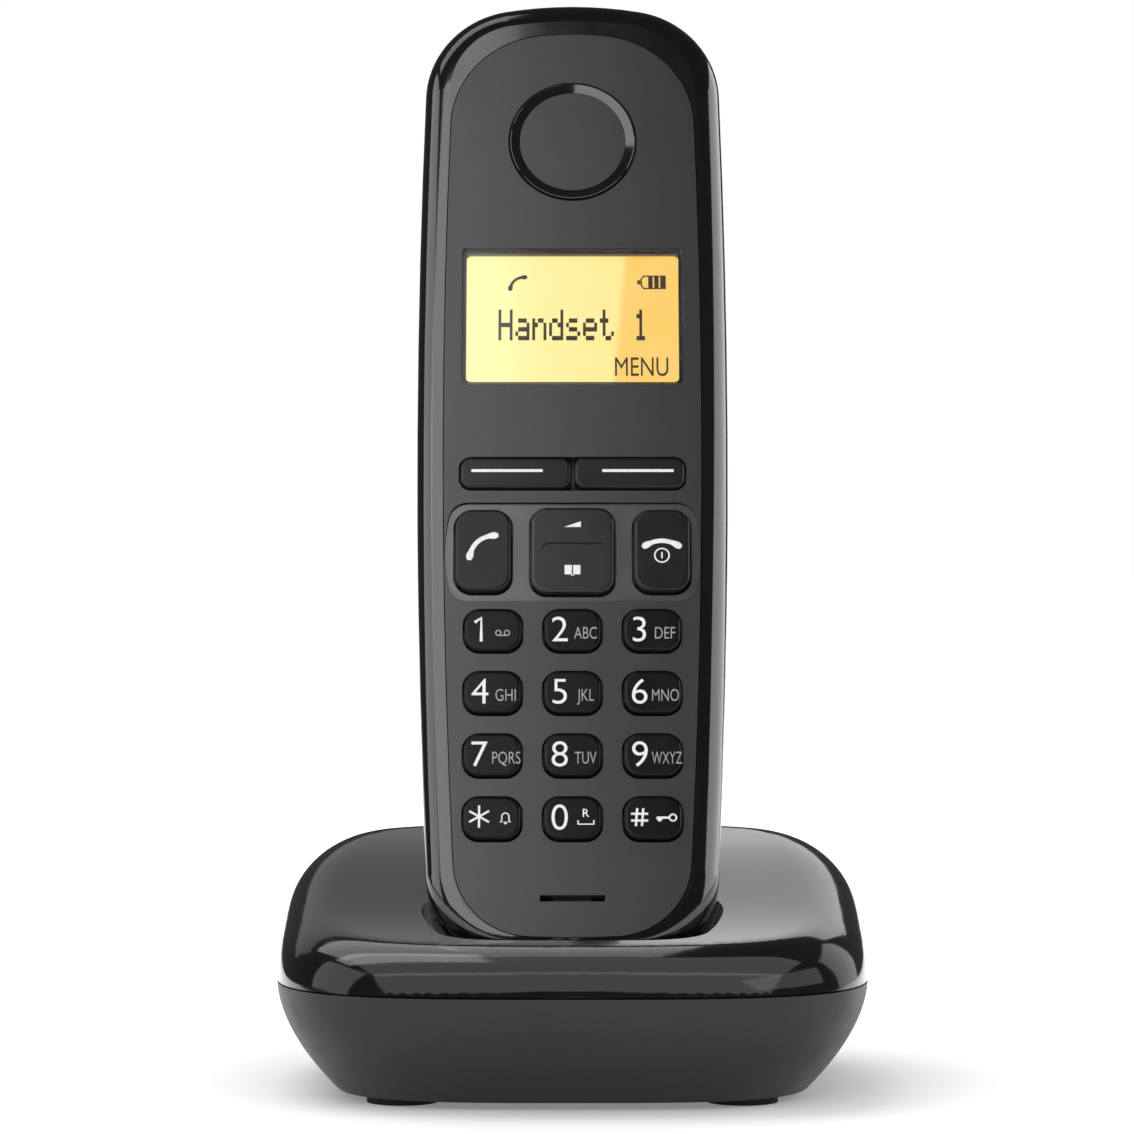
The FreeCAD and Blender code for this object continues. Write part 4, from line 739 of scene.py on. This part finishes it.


# ---- display: painted shade behind the window, a dark brown frame for the shaded walls of its recess, and the marks on the glass

readout = {
    "row": "Handset 1",
    "rowLeft": -11.7, "rowRight": 11.9, "rowLow": 100.7, "rowHigh": 105.9,
    "menuMiddle": (10.9, 96.25), "menuTall": 3.1, "menuWide": 8.4,
    # inner edge of the painted shade round the lit display, widest at the top
    "shadeSide": 16.75, "shadeLow": 92.9, "shadeHigh": 114.75, "shadeThick": 0.12,
    "shadeInset": 0.5,       # any width does, the inner corners are set after it
    "printLift": 0.03,      # above the glass
    "shadeDrop": 0.16,       # behind the window
    "batteryLefts": (12.0, 12.95, 13.9), "batteryWide": 0.72,
}
dotLetters = {
    "H": ("10001", "10001", "10001", "11111", "10001", "10001", "10001"),
    "a": ("00000", "00000", "01110", "00001", "01111", "10001", "01111"),
    "n": ("00000", "00000", "10110", "11001", "10001", "10001", "10001"),
    "d": ("00001", "00001", "01101", "10011", "10001", "10001", "01111"),
    "s": ("00000", "00000", "01110", "10000", "01110", "00001", "11110"),
    "e": ("00000", "00000", "01110", "10001", "11111", "10000", "01110"),
    "t": ("01000", "01000", "11100", "01000", "01000", "01001", "00110"),
    "1": ("00100", "01100", "00100", "00100", "00100", "00100", "01110"),
    " ": ("00000",) * 7,
}


def litDots(word):
    # a grid the size of the row, of which only the lit dots stay
    columns = len(word) * 6 - 1
    wide = readout["rowRight"] - readout["rowLeft"]
    tall = readout["rowHigh"] - readout["rowLow"]
    clearSelection()
    bpy.ops.mesh.primitive_grid_add(x_subdivisions=columns, y_subdivisions=7, size=1, location=(0, 0, 0))
    row = bpy.context.object
    reshape(row, Matrix.Translation(((readout["rowLeft"] + readout["rowRight"]) / 2,
                                     (readout["rowLow"] + readout["rowHigh"]) / 2, 0))
            @ Matrix.Diagonal((wide, tall, 1, 1)))
    bpy.ops.object.mode_set(mode="EDIT")
    bpy.ops.mesh.select_mode(type="FACE")
    bpy.ops.mesh.select_all(action="DESELECT")
    bpy.ops.object.mode_set(mode="OBJECT")
    for face in row.data.polygons:
        column = int((face.center.x - readout["rowLeft"]) / wide * columns)
        line = 6 - int((face.center.y - readout["rowLow"]) / tall * 7)
        letter, place = divmod(column, 6)
        lit = place < 5 and dotLetters[word[letter]][line][place] == "1"
        face.select = not lit
    bpy.ops.object.mode_set(mode="EDIT")
    bpy.ops.mesh.delete(type="FACE")
    bpy.ops.mesh.select_all(action="SELECT")
    bpy.ops.mesh.edge_split(type="EDGE")
    bpy.ops.mesh.select_all(action="SELECT")
    bpy.ops.mesh.extrude_region_move(TRANSFORM_OT_translate={"value": (0, 0, ink["thick"] / 2)})
    bpy.ops.mesh.select_all(action="SELECT")
    bpy.ops.mesh.normals_make_consistent(inside=False)
    bpy.ops.object.mode_set(mode="OBJECT")
    return row


def batteryMark():
    case = [(14.7, 109.5), (11.3, 109.5), (10.9, 110.0), (10.9, 111.1), (11.3, 111.6), (14.7, 111.6)]
    marks = [inkStroke(case, 0.26, closed=True),
             inkPatch(boxPoints(10.25, 10.75, 110.2, 110.9))]
    for left in readout["batteryLefts"]:
        marks.append(inkPatch(boxPoints(left, left + readout["batteryWide"], 109.55, 111.55)))
    return marks


def layInDisplay(name, marks, finish, depth):
    foot = handsetBox("rear_shell")[0].y
    printMark(name, marks, handsetPlace(0, foot, depth), "handset", finish)


rowDots = litDots(readout["row"])
callMark = receiver((-8.55, 110.25), 3.6, math.radians(40), 0.46, 0.24, 1.6)
menuWord = inkWord("MENU", readout["menuMiddle"], readout["menuTall"], readout["menuWide"], 0.0)
glassFront = handsetBox("lcd_glass")[1].z
layInDisplay("lcd_readout", [rowDots, callMark, menuWord] + batteryMark(), "lcdInk",
             glassFront + readout["printLift"] * mm)


# painted shade: a dark brown frame round the lit display where the window's recess walls shade it; the brown
# stands for the display's light on those walls
def paintedWindowShade():
    low, high = handsetBox("display_window")
    lowest = handsetBox("rear_shell")[0].y
    left, right = low.x / mm, high.x / mm
    bottom, top = (low.y - lowest) / mm, (high.y - lowest) / mm
    clearSelection()
    bpy.ops.mesh.primitive_plane_add(size=1, location=(0, 0, 0))
    shadeFrame = bpy.context.object
    reshape(shadeFrame, Matrix.Translation(((left + right) / 2, (bottom + top) / 2, 0))
            @ Matrix.Diagonal((right - left, top - bottom, 1, 1)))
    bpy.ops.object.mode_set(mode="EDIT")
    bpy.ops.mesh.select_all(action="SELECT")
    bpy.ops.mesh.inset(thickness=readout["shadeInset"])
    bpy.ops.object.mode_set(mode="OBJECT")
    for vertex in shadeFrame.data.vertices:
        if vertex.select:
            vertex.co.x = math.copysign(readout["shadeSide"], vertex.co.x)
            vertex.co.y = readout["shadeLow"] if vertex.co.y < (bottom + top) / 2 else readout["shadeHigh"]
    bpy.ops.object.mode_set(mode="EDIT")
    bpy.ops.mesh.delete(type="FACE")
    bpy.ops.mesh.select_all(action="SELECT")
    bpy.ops.mesh.extrude_region_move(TRANSFORM_OT_translate={"value": (0, 0, readout["shadeThick"])})
    bpy.ops.mesh.select_all(action="SELECT")
    bpy.ops.mesh.normals_make_consistent(inside=False)
    bpy.ops.object.mode_set(mode="OBJECT")
    return shadeFrame


windowBack = handsetBox("display_window")[0].z
layInDisplay("display_painted_shade", [paintedWindowShade()], "paintedShadeBrown", windowBack - readout["shadeDrop"] * mm)
print("display marks laid on the glass")
